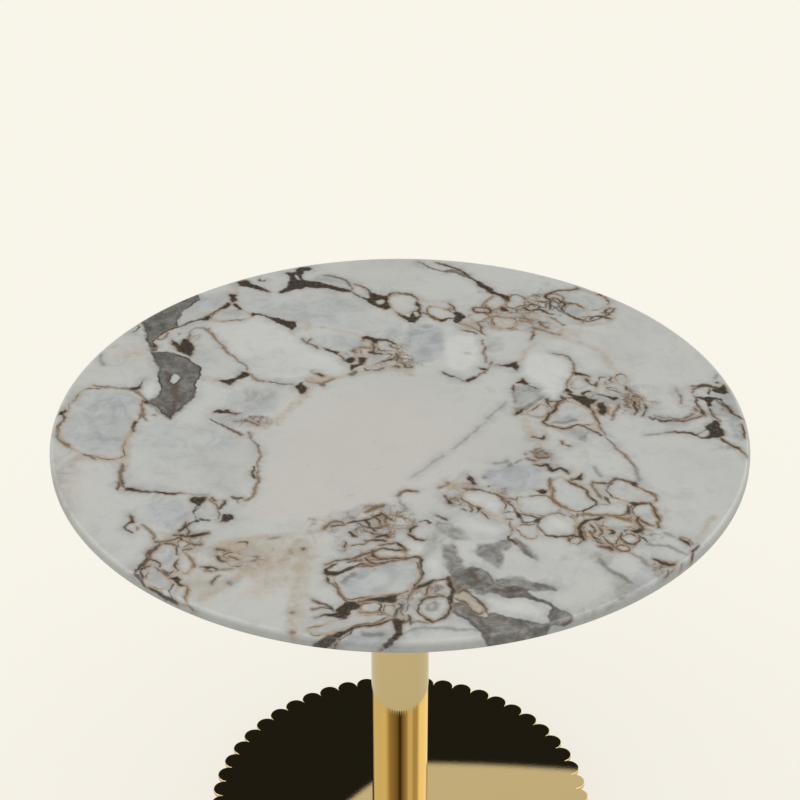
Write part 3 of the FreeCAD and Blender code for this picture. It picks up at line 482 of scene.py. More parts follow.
RINGED_STONES = (
    # far side, far right, right, near right, near middle, near left, left: strength and corners
    (0.5, -150, 148, -148, 154, -143, 160, -137, 168, -133, 170, -128, 161, -120, 157, -117, 150,
     -124, 145, -135, 143, -145, 143),
    (0.5, -25, 85, -16, 90, -6, 91, -9, 84, -18, 76, -25, 72, -27, 78),
    (0.3, -18, 110, -10, 111, -4, 105, 0, 98, -8, 95, -17, 98),
    (0.6, -31, 109, -22, 109, -22, 103, -30, 104), (0.0, -29, 100, -22, 98, -24, 89, -30, 91),
    (0.0, -10, 82, -1, 83, -4, 74, -12, 74),
    (0.0, -10, 182, 0, 188, 12, 184, 14, 172, 12, 160, 4, 154, -4, 158, -8, 168),
    (0.0, 22, 166, 30, 166, 42, 158, 44, 148, 38, 144, 30, 146, 22, 154),
    (0.5, 119, 190, 130, 193, 140, 196, 152, 192, 160, 186, 168, 175, 166, 166, 160, 162, 150, 160,
     143, 168, 137, 173, 131, 176, 125, 181, 120, 184),
    (0.6, 133, 168, 138, 172, 143, 167, 147, 160, 150, 153, 146, 146, 140, 145, 135, 152, 131, 158),
    (0.0, 92, 186, 98, 185, 101, 178, 100, 170, 94, 166, 90, 162, 85, 168, 87, 175, 88, 182),
    (0.0, 76, 183, 80, 184, 84, 178, 85, 172, 81, 168, 77, 162, 72, 160, 68, 166, 70, 174),
    (0.2, 104, 174, 108, 168, 107, 162, 103, 164, 101, 169),
    (0.3, 111, 176, 117, 174, 117, 166, 112, 165),
    (0.0, 53, 152, 60, 154, 66, 157, 70, 152, 70, 146, 66, 142, 60, 142, 55, 146),
    (0.0, 74, 149, 84, 148, 90, 146, 92, 140, 88, 132, 80, 131, 74, 134, 73, 142),
    (0.4, 122, 24, 127, 20, 133, 15, 137, 10, 140, 4, 141, -3, 138, -9, 132, -11, 126, -10, 119, -13,
     113, -14, 107, -11, 103, -6, 107, 0, 110, 6, 114, 14, 118, 20),
    (0.3, 91, 6, 96, 11, 103, 20, 107, 14, 108, 4, 103, 1, 95, 2),
    (0.3, 126, 45, 130, 52, 137, 58, 140, 52, 139, 44, 133, 40, 127, 41),
    (0.2, 148, 56, 156, 58, 157, 48, 150, 44), (0.5, 160, 58, 168, 62, 170, 50, 164, 44),
    (0.2, 152, 42, 160, 40, 164, 33, 156, 31), (0.0, 152, 20, 157, 20, 158, 12, 155, 3, 151, 5),
    (0.0, 42, -96, 46, -92, 52, -93, 60, -95, 66, -99, 69, -104, 71, -112, 70, -118, 64, -124, 58, -120,
     52, -113, 46, -110, 42, -104),
    (0.2, 80, -101, 90, -100, 101, -99, 103, -108, 108, -114, 106, -119, 100, -120, 94, -123, 86, -121,
     80, -116, 78, -108),
    (0.0, 104, -80, 110, -77, 115, -82, 120, -87, 125, -92, 127, -100, 130, -105, 131, -112, 126, -115,
     121, -118, 114, -116, 107, -111, 104, -106, 103, -96, 103, -86),
    (0.3, 143, -87, 147, -82, 150, -80, 155, -82, 160, -88, 165, -92, 170, -97, 173, -103, 171, -108,
     165, -108, 158, -108, 150, -105, 143, -102, 140, -95),
    (0.5, 157, -112, 163, -110, 168, -110, 170, -118, 172, -126, 171, -134, 167, -134, 161, -130,
     157, -126, 155, -119),
    (0.0, 92, -126, 97, -121, 105, -120, 112, -122, 116, -128, 116, -138, 114, -145, 108, -147,
     100, -146, 94, -145, 92, -138, 91, -132),
    (0.0, 132, -109, 142, -110, 150, -107, 153, -112, 152, -120, 146, -123, 136, -121, 124, -121,
     122, -118, 130, -114),
    (0.5, 134, -131, 138, -126, 146, -127, 153, -130, 156, -134, 150, -136, 142, -137, 135, -135),
    (0.2, 121, -138, 123, -132, 128, -130, 132, -134, 133, -141, 131, -149, 126, -150, 121, -145),
    (0.2, 135, -146, 141, -145, 143, -150, 141, -155, 138, -156, 135, -151),
    (0.2, 146, -146, 152, -143, 156, -147, 154, -152, 150, -156, 146, -153, 144, -149),
    (0.2, 141, -157, 147, -156, 149, -162, 144, -164, 140, -161),
    (0.0, 112, -149, 117, -147, 119, -151, 116, -155, 111, -153),
    (0.4, 75, -137, 82, -133, 90, -133, 91, -140, 88, -150, 80, -146),
    (0.5, -42, -192, -38, -184, -28, -179, -15, -175, -5, -171, 5, -171, 12, -178, 13, -190, 8, -198,
     3, -206, -5, -210, -15, -209, -25, -213, -33, -214, -38, -205),
    (0.5, -58, -244, -46, -238, -30, -230, -14, -229, -7, -231, -14, -236, -28, -240, -40, -246,
     -52, -250),
    (0.2, -24, -218, -16, -216, -12, -220, -12, -226, -20, -226, -26, -222),
    (0.2, -10, -220, -3, -219, -4, -226, -9, -229),
    (0.0, -17, -164, -8, -161, 2, -161, 5, -168, -4, -169, -14, -169),
    (0.0, -20, -172, -10, -172, -4, -173, -12, -176, -20, -175),
    (0.4, -159, -162, -156, -156, -150, -155, -145, -161, -143, -172, -144, -183, -147, -188, -153, -180,
     -159, -172),
    (0.1, -142, -163, -135, -170, -132, -179, -136, -188, -141, -183, -143, -174),
    (0.7, -157, -179, -151, -187, -145, -194, -145, -201, -152, -203, -159, -197, -162, -189),
    (0.4, -145, -151, -141, -150, -137, -154, -141, -159, -145, -158),
    (0.0, -141, -200, -135, -199, -133, -210, -134, -220, -141, -216),
    (0.0, -113, -157, -106, -153, -99, -152, -100, -161, -110, -163),
    (0.7, -115, -168, -108, -164, -97, -167, -103, -170, -112, -171),
    (0.1, -112, -174, -104, -173, -101, -178, -108, -180),
    (0.55, -235, 38, -228, 41, -215, 40, -203, 39, -197, 37, -193, 33, -189, 27, -188, 18, -188, 8,
     -187, 2, -189, -4, -191, -10, -192, -24, -195, -32, -194, -42, -193, -52, -199, -56, -210, -53,
     -217, -50, -225, -46, -233, -38, -238, -32, -242, -24, -244, -14, -243, -6, -241, 2, -241, 18,
     -239, 24, -237, 30),
)
CREAM_ZONES = (
    (-20, -20, 95, 75, 0.9), (-50, -105, 60, 40, 0.9), (130, -210, 60, 25, 0.3), (-85, -205, 35, 25, 0.6),
    (-45, -150, 20, 10, 0.3), (48, 98, 14, 26, 0.5), (-20, 222, 50, 16, 0.5), (-228, -85, 26, 50, 0.9),
)
WARM_ZONES = (
    # near left, far right, right, left, middle
    (-96, -159, 45, 14, 0.8), (-83, -183, 22, 16, 1.0), (-128, -196, 14, 18, 0.6),
    (-61, -180, 6, 30, 0.6), (-61, -228, 5, 22, 0.7), (-95, -205, 24, 10, 0.5), (-106, -196, 10, 8, -0.9),
    (90, 144, 30, 14, 1.0), (106, 146, 14, 14, 0.7), (66, 164, 18, 8, 0.6), (104, 166, 14, 10, 0.5),
    (168, 22, 10, 22, 0.6), (53, 133, 9, 8, 0.8), (130, 122, 18, 9, 0.8), (157, 88, 6, 22, 0.5),
    (153, 16, 6, 12, 0.7), (98, -21, 10, 14, 0.5), (114, -45, 10, 8, 0.3), (169, -177, 10, 6, 0.8),
    (-205, 93, 14, 16, 0.7), (-226, 62, 10, 16, 0.4), (-191, -40, 6, 30, 0.5), (-215, -53, 14, 6, 0.9),
    (-59, 55, 12, 10, 0.9), (-85, 0, 12, 12, 0.35), (37, -87, 10, 6, 0.6), (-16, -116, 8, 5, 0.5),
    (-37, -135, 14, 6, 0.5), (0, 60, 14, 5, 0.5), (38, -86, 12, 6, 0.8), (4, -95, 9, 4, 0.7),
    (68, -98, 12, 5, 0.6), (150, -124, 14, 5, 0.7), (129, -98, 6, 16, 0.6), (105, -147, 14, 4, 0.6),
    (136, -140, 16, 10, 0.4), (164, -98, 10, 6, 0.5), (85, -112, 20, 5, 0.4),
)
# Smoky zones in the print, then zones of painted shade on the rim's rounding
SMOKE_AND_RIM_SHADE_ZONES = (
    (24, -151, 12, 18, 0.5), (-19, -138, 20, 15, 0.45), (127, -167, 14, 8, 0.5), (140, -196, 8, 10, 0.5),
    (-106, -175, 14, 8, 0.4), (-98, 35, 12, 12, 0.35),
    # left edge, then right front rim: these rows lie on the rim's rounding and paint shade on it
    (-236, -78, 16, 40, 0.5), (-222, -118, 12, 20, 0.35), (116, -226, 12, 12, 0.4),
    (132, -216, 12, 12, 0.45), (150, -204, 12, 12, 0.4), (168, -190, 10, 10, 0.3),
)
CRACKLE_ZONES = (
    # near left, near middle, right, far right, far middle, left
    (-152, -175, 14, 28, 0.8), (-138, -148, 12, 10, 0.6), (-101, -169, 20, 14, 0.5),
    (-16, -130, 30, 18, 1.0), (-24, -169, 24, 10, 0.6), (-16, -220, 24, 14, 0.7), (18, -209, 14, 14, 0.6),
    (143, -138, 28, 20, 1.0), (50, -98, 24, 16, 0.7), (111, -116, 20, 20, 0.6), (169, -180, 14, 10, 0.6),
    (156, 22, 24, 20, 1.0), (98, -50, 14, 14, 0.7), (116, 170, 40, 16, 1.0), (85, 141, 30, 16, 0.7),
    (-16, 91, 24, 24, 1.0), (-75, 48, 14, 12, 0.6), (-114, -2, 24, 10, 0.7), (230, 16, 16, 22, 0.5),
    (-167, 112, 14, 12, 0.4),
)
# How far from a line or patch its distance is measured, and how far stones and smoke fade, in millimetres
VEIN_REACH = 14.0
STONE_MARGIN = 7.0
SMOKE_MARGIN = 3.0
# How the drawing lies on the top: its scale across and away, its shift and its spread towards the far side
DRAWING_SCALE = (0.998, 1.018)
DRAWING_SHIFT = -5.75
DRAWING_SPREAD = 5.7e-5
# How far the print runs on over the rim for each millimetre that the rim drops
RIM_STRETCH = 1.2
# Noises in the print: scale per metre, detail, roughness and swirl
FINE_NOISE = (700.0, 3.0, 0.6)
MIDDLE_NOISE = (190.0, 4.0)
BROAD_NOISE = (46.0, 4.0)
CLOUD_NOISE = (15.0, 6.0, 0.62)
WISP_NOISE = (60.0, 6.0, 0.62, 1.4)
HAZE_NOISE = (28.0, 3.0, 0.5)
MOTTLE_NOISE = (130.0, 6.0, 0.7, 0.6)
SWELL_NOISE = (75.0, 3.0)
CRINKLE_NOISE = (115.0, 2.5, 0.55, 0.6)
FLAKE_NOISE = (420.0, 3.0, 0.65)
STREAK_NOISE = (1.0, 3.0, 0.5, 1.2)
STREAK_STRETCH = (60.0, 18.0, 50.0)
STREAK_TURN = 0.15
CELLS_PER_METRE = 105.0
# Bends of the cracked cells: scale per metre and reach in metres
COARSE_BEND = (45.0, 0.007)
FINE_BEND = (230.0, 0.002)
# Where the darker left side of the grey patches starts, and where it is full
LEFT_SIDE = (-100 * MM, -130 * MM)
# The rim is satin from one radius to the next, and that much rougher than the face
SATIN_FROM, SATIN_TO = 246.2 * MM, 248.5 * MM
SATIN_ROUGHNESS = 0.34
GLASS_IOR = 1.5
# Splits of the top's mesh: reach from an edge in millimetres, and whether only dark and grey edges count
VEIN_SPLITS = ((4.0, False), (1.7, False), (0.3, True))
# Steps of the top's two roundings, and the grid's gap to the rim
UPPER_STEPS, LOWER_STEPS = 10, 4
GRID_GAP = 0.6 * MM
# The underside's last ring, as a share of the flat face's radius
UNDERSIDE_RING = 0.96
# Faces of the top that meet at more than this many degrees have a crease between them
TOP_CREASE = 60.0
# Shares cut off each side's ends to round a line and a patch
LINE_CUT, PATCH_CUT = 0.25, 0.15
# A line's width at its ends, as a share, and where its taper starts and ends
LINE_END = 0.6
LINE_TAPER = (0.02, 0.98)
# How much nearer than a vein a rim or rust line, or a grey line, has to be for the same shade
RIM_SHADE, HAIR_SHADE = 1.0, 1.5
# The bake map: how far the rim is rolled out, the map's reach, the underside's place and size in a corner
MAP_ROLL, MAP_REACH = 1.35, 1.4
UNDER_PLACE, UNDER_SIZE = 0.08, 0.075
# Faces that point down this far, and lie this close to the glass's lowest plane, are its underside
FACING_DOWN, UNDER_GAP = -0.99, 0.01 * MM
# Against division by zero, for merging corners, and for telling two places apart
TINY, MERGE, SAME_PLACE = 1e-9, 1e-7, 1e-6

# Steps round the turned pieces, one lobe and one screw hole
COLUMN_STEPS, MOUNT_STEPS, PAD_STEPS = 160, 128, 48
LOBE_STEPS, HOLE_STEPS = 14, 32
# In edge breaks: the mount plate's lower rounding, and how far the column's last loops lie from its ends
MOUNT_ROUNDING, COLUMN_LOOPS = 2.5, 3
# The foot pads' grooves: their places as shares of the radius, half their widths, and their depth
GROOVES = (0.68, 0.36)
GROOVE_MOUTH, GROOVE_FLOOR, GROOVE_DEPTH = 0.6 * MM, 0.3 * MM, 0.6 * MM
PAD_LOWER_EDGE, PAD_UPPER_EDGE = 0.8 * MM, 0.3 * MM

# Gold: noise of its drift in colour, stretch of its polishing marks, roughness, and its bump
GOLD_DRIFT = (9.0, 2.0)
GOLD_MARKS = (900.0, 900.0, 60.0)
GOLD_ROUGHNESS = (0.002, 0.010)
GOLD_BUMP = (0.006, 0.2 * MM)
# Other metal: its shades as shares of the colour, its spread of roughness, its bump
METAL_SHADES = (0.82, 1.12)
METAL_SPREAD = (-0.07, 0.09)
METAL_BUMP = (0.15, 0.1 * MM)
# Matt finishes: their shades, their spread of roughness, the strength of their bump, pebbles to a cloud
MATT_SHADES = (0.8, 1.2)
MATT_SPREAD = (-0.08, 0.08)
MATT_BUMP = 0.35
PEBBLES_PER_CLOUD = 14.0
# A matt finish: name, setting, roughness, pebbles per metre, their depth, and the nodes that have it
MATT_FINISHES = (
    ("dark_film", "film", 0.55, 1600.0, 0.1 * MM, ("backing_film",)),
    ("adhesive_pad", "glue", 0.78, 900.0, 0.2 * MM, ("bond_pad",)),
    ("powder_coat", "paint", 0.48, 1300.0, 0.2 * MM, ("weight_disc",)),
    ("nylon_ring", "nylon", 0.5, 1800.0, 0.1 * MM, ("top_gasket", "base_gasket")),
)
# The foot pads' rubber: roughness, pebbles per metre and their depth
RUBBER = (0.72, 2400.0, 0.1 * MM)
# A metal finish: name, setting, roughness, stretch of its marks, and the nodes that have it
METAL_FINISHES = (
    ("turned_steel", "steel", 0.34, (160.0, 160.0, 2400.0), ("upper_plug", "lower_plug")),
    ("zinc_plate", "zinc", 0.3, (700.0, 700.0, 1100.0),
     ("top_stud", "base_screws", "weld_studs", "stud_washers", "stud_nuts")),
)

# The room that the gold mirrors: angle round from the camera's side in degrees, brightness, warmth
ROOM_PANELS = (
    (-180, 0.02, 0.0), (-148, 0.02, 0.0), (-130, 1.35, 0.0), (-62, 1.5, 0.0), (-42, 0.7, 0.6),
    (-10, 0.35, 0.8), (-3, 0.1, 0.5), (3, 0.1, 0.5), (10, 0.4, 0.8), (27, 0.8, 0.5), (36, 1.35, 0.0),
    (48, 1.35, 0.0), (58, 0.9, 0.3), (74, 0.95, 0.3), (88, 2.05, 0.0), (148, 2.0, 0.0), (160, 0.02, 0.0),
    (180, 0.02, 0.0),
)
# How green and blue fall off as a panel gets warmer
WARM_FALL = (0.3, 0.65)
# The pale ceiling: how its edge rises to the left, its highest place, and where it starts on the far side
CEILING_RISE, CEILING_TOP = 0.376, 0.80
CEILING_FAR = (0.5, 0.6)
# The blur of the ceiling's edge, and the least depth that its rise is divided by
CEILING_BLUR = 0.001
LEAST_DEPTH = 0.05
# Mirrored directions fade to the pale floor between these heights
LOW_FADE = (0.45, 0.30)
# Soft boxes: name, angle round from the camera's side in degrees, width in metres, brightness, mirrored
SOFT_BOXES = (
    ("left_box", -88, 1.9, 1.2, True), ("right_box", 108, 1.3, 0.9, True),
    ("front_strip", 42, 0.4, 0.8, False),
)
BOX_TILT = math.radians(60.0)
BOX_DISTANCE, BOX_HEIGHT = 2.2, 0.9
BOX_AIM = Vector((0.0, 0.0, 0.2))
FLOOR_RADIUS, FLOOR_STEPS, FLOOR_GAP = 12.0, 96, 0.2 * MM
# Distances from the table between which the floor's own shadow fades out
SHADOW_FADE = (0.15, 1.1)
SENSOR_WIDTH = 36.0


def tint(name, description, default):
    """A colour setting."""
    return FloatVectorProperty(name=name, description=description, default=default, subtype="COLOR")


def length(name, description, default):
    """A length setting, in metres."""
    return FloatProperty(name=name, description=description, default=default, unit="LENGTH")


def share_of(name, description, default):
    """A setting between 0 and 1."""
    return FloatProperty(name=name, description=description, default=default, subtype="FACTOR")


class TopSettings(bpy.types.PropertyGroup):
    upper_edge: length("Upper edge", "Rounding of the upper edge", 3.44 * MM)
    lower_edge: length("Lower edge", "Rounding of the lower edge", 0.8 * MM)
    cell: length("Cell", "Mesh cell away from the veins", 5 * MM)
    gloss: share_of("Roughness", "Roughness of the polished face", 0.11)
    white: tint("White", "Plain stone", (0.535, 0.540, 0.505))
    pale: tint("Pale", "Palest stones", (0.600, 0.604, 0.568))
    cream: tint("Cream", "Warm stone in the middle", (0.556, 0.536, 0.492))
    blue: tint("Blue grey", "Cool stones", (0.398, 0.414, 0.411))
    dark: tint("Vein", "Deepest vein", (0.050, 0.041, 0.030))
    brown: tint("Vein brown", "Lighter vein", (0.102, 0.079, 0.057))
    rust: tint("Rust", "Rust lines", (0.300, 0.205, 0.125))
    tan: tint("Tan", "Soft stains", (0.420, 0.345, 0.258))
    mist: tint("Mist", "Soft shade beside the veins", (0.325, 0.330, 0.322))
    # This colour also paints shade on the rim's rounding
    smoke: tint("Smoke", "Smoky grey zones", (0.225, 0.216, 0.198))
    taupe: tint("Taupe", "Grey patches", (0.195, 0.182, 0.160))


class GoldSettings(bpy.types.PropertyGroup):
    colour: tint("Gold", "Polished plating", (0.640, 0.519, 0.277))
    warm: tint("Warm gold", "Warmer plating", (0.640, 0.504, 0.252))
    column_wall: length("Column wall", "Wall of the tube", 1.5 * MM)
    edge_break: length("Edge break", "Rounding of the gold pieces' edges", 0.4 * MM)
    lobe_count: IntProperty(
        name="Lobes", description="Lobes round the base plate", default=54, min=3)
    notch_radius: length("Notch radius", "Circle that the notches lie on", 147.0 * MM)
    lobe_fullness: share_of("Fullness", "Height of a lobe over half its width", 0.88)
    first_lobe: FloatProperty(
        name="First lobe", description="Angle of one lobe", default=math.radians(1.65), unit="ROTATION")
    screw_count: IntProperty(name="Screws", description="Screws through the base plate", default=3, min=1)
    screw_circle: length("Screw circle", "Radius that the screws stand on", 13 * MM)
    screw_hole: length("Screw hole", "Radius of a screw hole", 3.2 * MM)
    stud_hole: length("Stud hole", "Radius of the mount plate's bore", 6.2 * MM)
    stud_head_hole: length("Stud head hole", "Radius of the bore's sunk part", 9.2 * MM)
    stud_head_depth: length("Stud head depth", "Depth of the bore's sunk part", 2 * MM)


class UndersideSettings(bpy.types.PropertyGroup):
    film: tint("Film", "Film under the glass", (0.030, 0.027, 0.024))
    paint: tint("Paint", "Powder coat of the weight", (0.022, 0.022, 0.023))
    rubber: tint("Rubber", "Foot pads", (0.018, 0.018, 0.018))
    nylon: tint("Nylon", "Rings at the column's ends", (0.62, 0.59, 0.52))
    zinc: tint("Zinc", "Screws and nuts", (0.56, 0.57, 0.59))
    steel: tint("Steel", "Turned plugs", (0.42, 0.42, 0.43))
    glue: tint("Adhesive", "Pad under the film", (0.09, 0.09, 0.09))
    pad_count: IntProperty(name="Pads", description="Foot pads", default=6, min=3)
    pad_radius: length("Pad radius", "Radius of one foot pad", 13 * MM)


class StageSettings(bpy.types.PropertyGroup):
    backdrop: tint("Backdrop", "Floor and background", (0.947, 0.913, 0.823))
    room_light: FloatProperty(
        name="Room light", description="Even light from all round", default=0.835)
    box_light: FloatProperty(
        name="Soft boxes", description="Brightness of the soft boxes", default=1.0)
    lens: FloatProperty(
        name="Lens", description="Focal length on a 36 mm sensor", default=89.14)
    camera_place: FloatVectorProperty(
        name="Camera", description="Where the camera stands", default=(0.0, -1.1978, 1.1599),
        subtype="XYZ", unit="LENGTH")
    camera_pitch: FloatProperty(
        name="Pitch", description="How far the camera looks down", default=math.radians(32.334),
        unit="ROTATION")
    shadow_share: share_of("Shadow", "Share of real light on the floor by the table", 0.22)
    bounce: share_of("Bounce", "Light that the floor throws back up", 0.42)
    mirror_level: share_of("Mirrored floor", "Brightness of the floor in the gold", 0.87)
    ceiling_start: share_of("Ceiling", "Height in the room where the pale ceiling starts", 0.6785)


class WineTableSettings(bpy.types.PropertyGroup):
    top: PointerProperty(type=TopSettings)
    gold: PointerProperty(type=GoldSettings)
    underside: PointerProperty(type=UndersideSettings)
    stage: PointerProperty(type=StageSettings)


def put(tree, kind, inputs=None, **values):
    """Adds a node, sets its values, and links or fills its inputs."""
    node = tree.nodes.new(kind)
    for name, value in values.items():
        setattr(node, name, value)
    for key, value in (inputs or {}).items():
        if isinstance(value, bpy.types.NodeSocket):
            tree.links.new(value, node.inputs[key])
        else:
            node.inputs[key].default_value = value
    return node


def calc(tree, operation, first, second=0.0, third=0.0):
    """One step of arithmetic on sockets or numbers."""
    inputs = {0: first, 1: second}
    if operation == "MULTIPLY_ADD":
        inputs[2] = third
    return put(tree, "ShaderNodeMath", inputs, operation=operation).outputs[0]


def times(tree, first, second):
    """Two values multiplied."""
    return calc(tree, "MULTIPLY", first, second)


def vector(tree, operation, inputs):
    """One step of arithmetic on vectors or colours."""
    return put(tree, "ShaderNodeVectorMath", inputs, operation=operation).outputs[0]


def scaled(colour, share):
    """A plain colour made lighter or darker."""
    return tuple(share * x for x in colour)


def ease(tree, value, zero_at, one_at):
    """A smooth step from 0 to 1 between two values."""
    inputs = {"Value": value, "From Min": zero_at, "From Max": one_at}
    return put(tree, "ShaderNodeMapRange", inputs, interpolation_type="SMOOTHSTEP").outputs["Result"]


def span(tree, value, low, high):
    """A 0 to 1 value spread between two numbers."""
    inputs = {"Value": value, "To Min": low, "To Max": high}
    return put(tree, "ShaderNodeMapRange", inputs).outputs["Result"]


def blend(tree, share, first, second):
    """A colour between two colours."""
    first = first if isinstance(first, bpy.types.NodeSocket) else (*first, 1.0)
    second = second if isinstance(second, bpy.types.NodeSocket) else (*second, 1.0)
    return put(tree, "ShaderNodeMix", {0: share, 6: first, 7: second}, data_type="RGBA").outputs[2]


def grain(tree, place, scale, detail=3.0, roughness=0.55, swirl=0.0):
    """A noise value at a scale per metre."""
    inputs = {"Vector": place, "Scale": scale, "Detail": detail}
    inputs |= {"Roughness": roughness, "Distortion": swirl}
    return put(tree, "ShaderNodeTexNoise", inputs).outputs[0]


def stretched(tree, place, scale, turn=0.0):
    """Coordinates turned about the vertical and stretched along one way."""
    inputs = {"Vector": place, "Rotation": (0.0, 0.0, turn), "Scale": scale}
    return put(tree, "ShaderNodeMapping", inputs).outputs[0]


def wander(tree, place, scale, reach):
    """A vector that wanders by up to half a reach in metres each way."""
    inputs = {"Vector": place, "Scale": scale, "Detail": 3.0}
    noise = put(tree, "ShaderNodeTexNoise", inputs).outputs["Color"]
    middled = vector(tree, "SUBTRACT", {0: noise, 1: (0.5, 0.5, 0.5)})
    return vector(tree, "SCALE", {0: middled, "Scale": reach})


def new_material(name):
    """A material with its node tree, its shader and its Object coordinates."""
    material = bpy.data.materials.new(name)
    material.use_nodes = True
    tree = material.node_tree
    place = put(tree, "ShaderNodeTexCoord").outputs["Object"]
    return material, tree, tree.nodes["Principled BSDF"], place


def bumped(tree, shader, height, strength, distance):
    """Gives a shader a bump from a height socket."""
    bump = put(tree, "ShaderNodeBump", {"Height": height, "Strength": strength, "Distance": distance})
    tree.links.new(bump.outputs[0], shader.inputs["Normal"])


class StonePrint:
    """Printed stone: colour from the drawn veins, stains and zones, with soft edges from noise."""

    def __init__(self, look):
        self.look = look
        self.material, self.tree, self.shader, self.place = new_material("marble_print")
        tree, place = self.tree, self.place
        self.across, self.along = put(tree, "ShaderNodeSeparateXYZ", {0: place}).outputs[:2]
        self.fine = grain(tree, place, *FINE_NOISE)
        self.middle = grain(tree, place, *MIDDLE_NOISE)
        self.broad = grain(tree, place, *BROAD_NOISE)
        self.cloud = grain(tree, place, *CLOUD_NOISE)
        self.wisp = grain(tree, place, *WISP_NOISE)
        self.wispy = ease(tree, self.wisp, 0.35, 0.65)
        self.mottle = ease(tree, grain(tree, place, *MOTTLE_NOISE), 0.34, 0.66)
        self.swell = ease(tree, grain(tree, place, *SWELL_NOISE), 0.36, 0.66)
        dark = self.drawn("dark", self.fine, 0.4)
        self.dark = calc(tree, "ADD", dark, span(tree, self.middle, -0.6, 0.6))
        depth = calc(tree, "ADD", self.dark, span(tree, self.middle, -1.2, 1.2))
        self.vein = blend(tree, ease(tree, depth, 0.0, -1.8), look.brown, look.dark)

    def drawn(self, name, noise=None, share=0.0):
        """A drawn value, moved up and down by a noise."""
        value = put(self.tree, "ShaderNodeAttribute", attribute_name=name).outputs["Fac"]
        if noise is None:
            return value
        return calc(self.tree, "ADD", value, span(self.tree, noise, -share, share))

    def uneven(self, name):
        """A drawn strength, stronger in some wisps than in others."""
        return times(self.tree, self.drawn(name), span(self.tree, self.wisp, 0.1, 1.9))

    def lay(self, share, first, second, most=1.0):
        """A colour laid over another, at most to a share."""
        return blend(self.tree, times(self.tree, share, most), first, second)

    def ground(self):
        """Plain, cool and pale stone, with mist over it and beside the veins."""
        tree, look, cloud = self.tree, self.look, self.cloud
        haze = grain(tree, self.place, *HAZE_NOISE)
        blue = blend(tree, self.wispy, scaled(look.blue, 1.14), scaled(look.blue, 0.88))
        cream = ease(tree, self.drawn("cream", cloud, 0.5), 0.1, 0.9)
        busy = span(tree, cream, 1.0, 0.2)
        colour = self.lay(cream, look.white, look.cream)
        colour = self.lay(ease(tree, self.drawn("cool", haze, 0.6), 0.05, 0.85), colour, blue)
        colour = self.lay(ease(tree, self.drawn("pale", haze, 0.3), 0.1, 0.9), colour, look.pale)
        colour = self.lay(times(tree, busy, ease(tree, cloud, 0.42, 0.72)), colour, look.mist, 0.25)
        colour = self.lay(times(tree, busy, ease(tree, self.wisp, 0.48, 0.8)), colour, look.mist, 0.3)
        edge = self.drawn("edge", self.broad, 4.0)
        near = times(tree, ease(tree, edge, 10.0, -1.0), span(tree, self.wispy, 0.3, 1.0))
        return self.lay(near, colour, look.mist, 0.6)

    def stains(self, colour):
        """Warm zones, tan stains and smoke, and painted shade on the rim in the smoke colour."""
        tree, look, mottle = self.tree, self.look, self.mottle
        warm = times(tree, ease(tree, self.uneven("warm"), 0.1, 0.85), span(tree, mottle, 1.0, 0.3))
        colour = self.lay(warm, colour, look.tan, 0.7)
        flecks = span(tree, ease(tree, self.middle, 0.36, 0.60), 0.5, 1.0)
        flecks = times(tree, flecks, span(tree, mottle, 1.0, 0.5))
        stain = times(tree, ease(tree, self.drawn("tan", self.wisp, 3.5), 3.5, -1.5), flecks)
        colour = self.lay(stain, colour, look.tan, 0.9)
        smoke = blend(tree, mottle, scaled(look.smoke, 1.35), scaled(look.smoke, 0.65))
        # The smoke colour lays both the smoke in the print and painted shade on the rim's rounding
        return self.lay(ease(tree, self.uneven("smoky"), 0.05, 1.0), colour, smoke, 0.9)

    def grey_patches(self, colour):
        """Streaked grey patches with dark rims, and grey lines."""
        tree, look, broad, middle = self.tree, self.look, self.broad, self.middle
        streak = grain(tree, stretched(tree, self.place, STREAK_STRETCH, STREAK_TURN), *STREAK_NOISE)
        grey = calc(tree, "ADD", self.drawn("grey", middle, 0.9), span(tree, broad, -0.8, 0.8))
        taupe = self.lay(ease(tree, streak, 0.48, 0.72), look.taupe, scaled(look.taupe, 0.45))
        taupe = self.lay(ease(tree, self.wisp, 0.45, 0.75), taupe, look.mist, 0.4)
        left = ease(tree, self.across, *LEFT_SIDE)
        taupe = self.lay(left, taupe, scaled(look.taupe, 0.5), 0.5)
        cloudy = times(tree, span(tree, self.mottle, 1.25, 0.7), span(tree, self.wispy, 0.8, 1.15))
        taupe = vector(tree, "SCALE", {0: taupe, "Scale": cloudy})
        colour = self.lay(ease(tree, grey, 1.2, -1.4), colour, taupe, 0.95)
        rim = ease(tree, calc(tree, "ABSOLUTE", calc(tree, "ADD", grey, 0.7)), 1.0, 0.2)
        rim = times(tree, rim, span(tree, left, 0.35, 0.9))
        colour = self.lay(times(tree, rim, ease(tree, broad, 0.36, 0.56)), colour, look.dark)
        faint = span(tree, ease(tree, grey, 1.0, -1.0), 0.5, 0.75)
        hair = times(tree, ease(tree, self.drawn("hair", middle, 1.2), 2.2, -1.2), faint)
        return self.lay(hair, colour, look.brown)

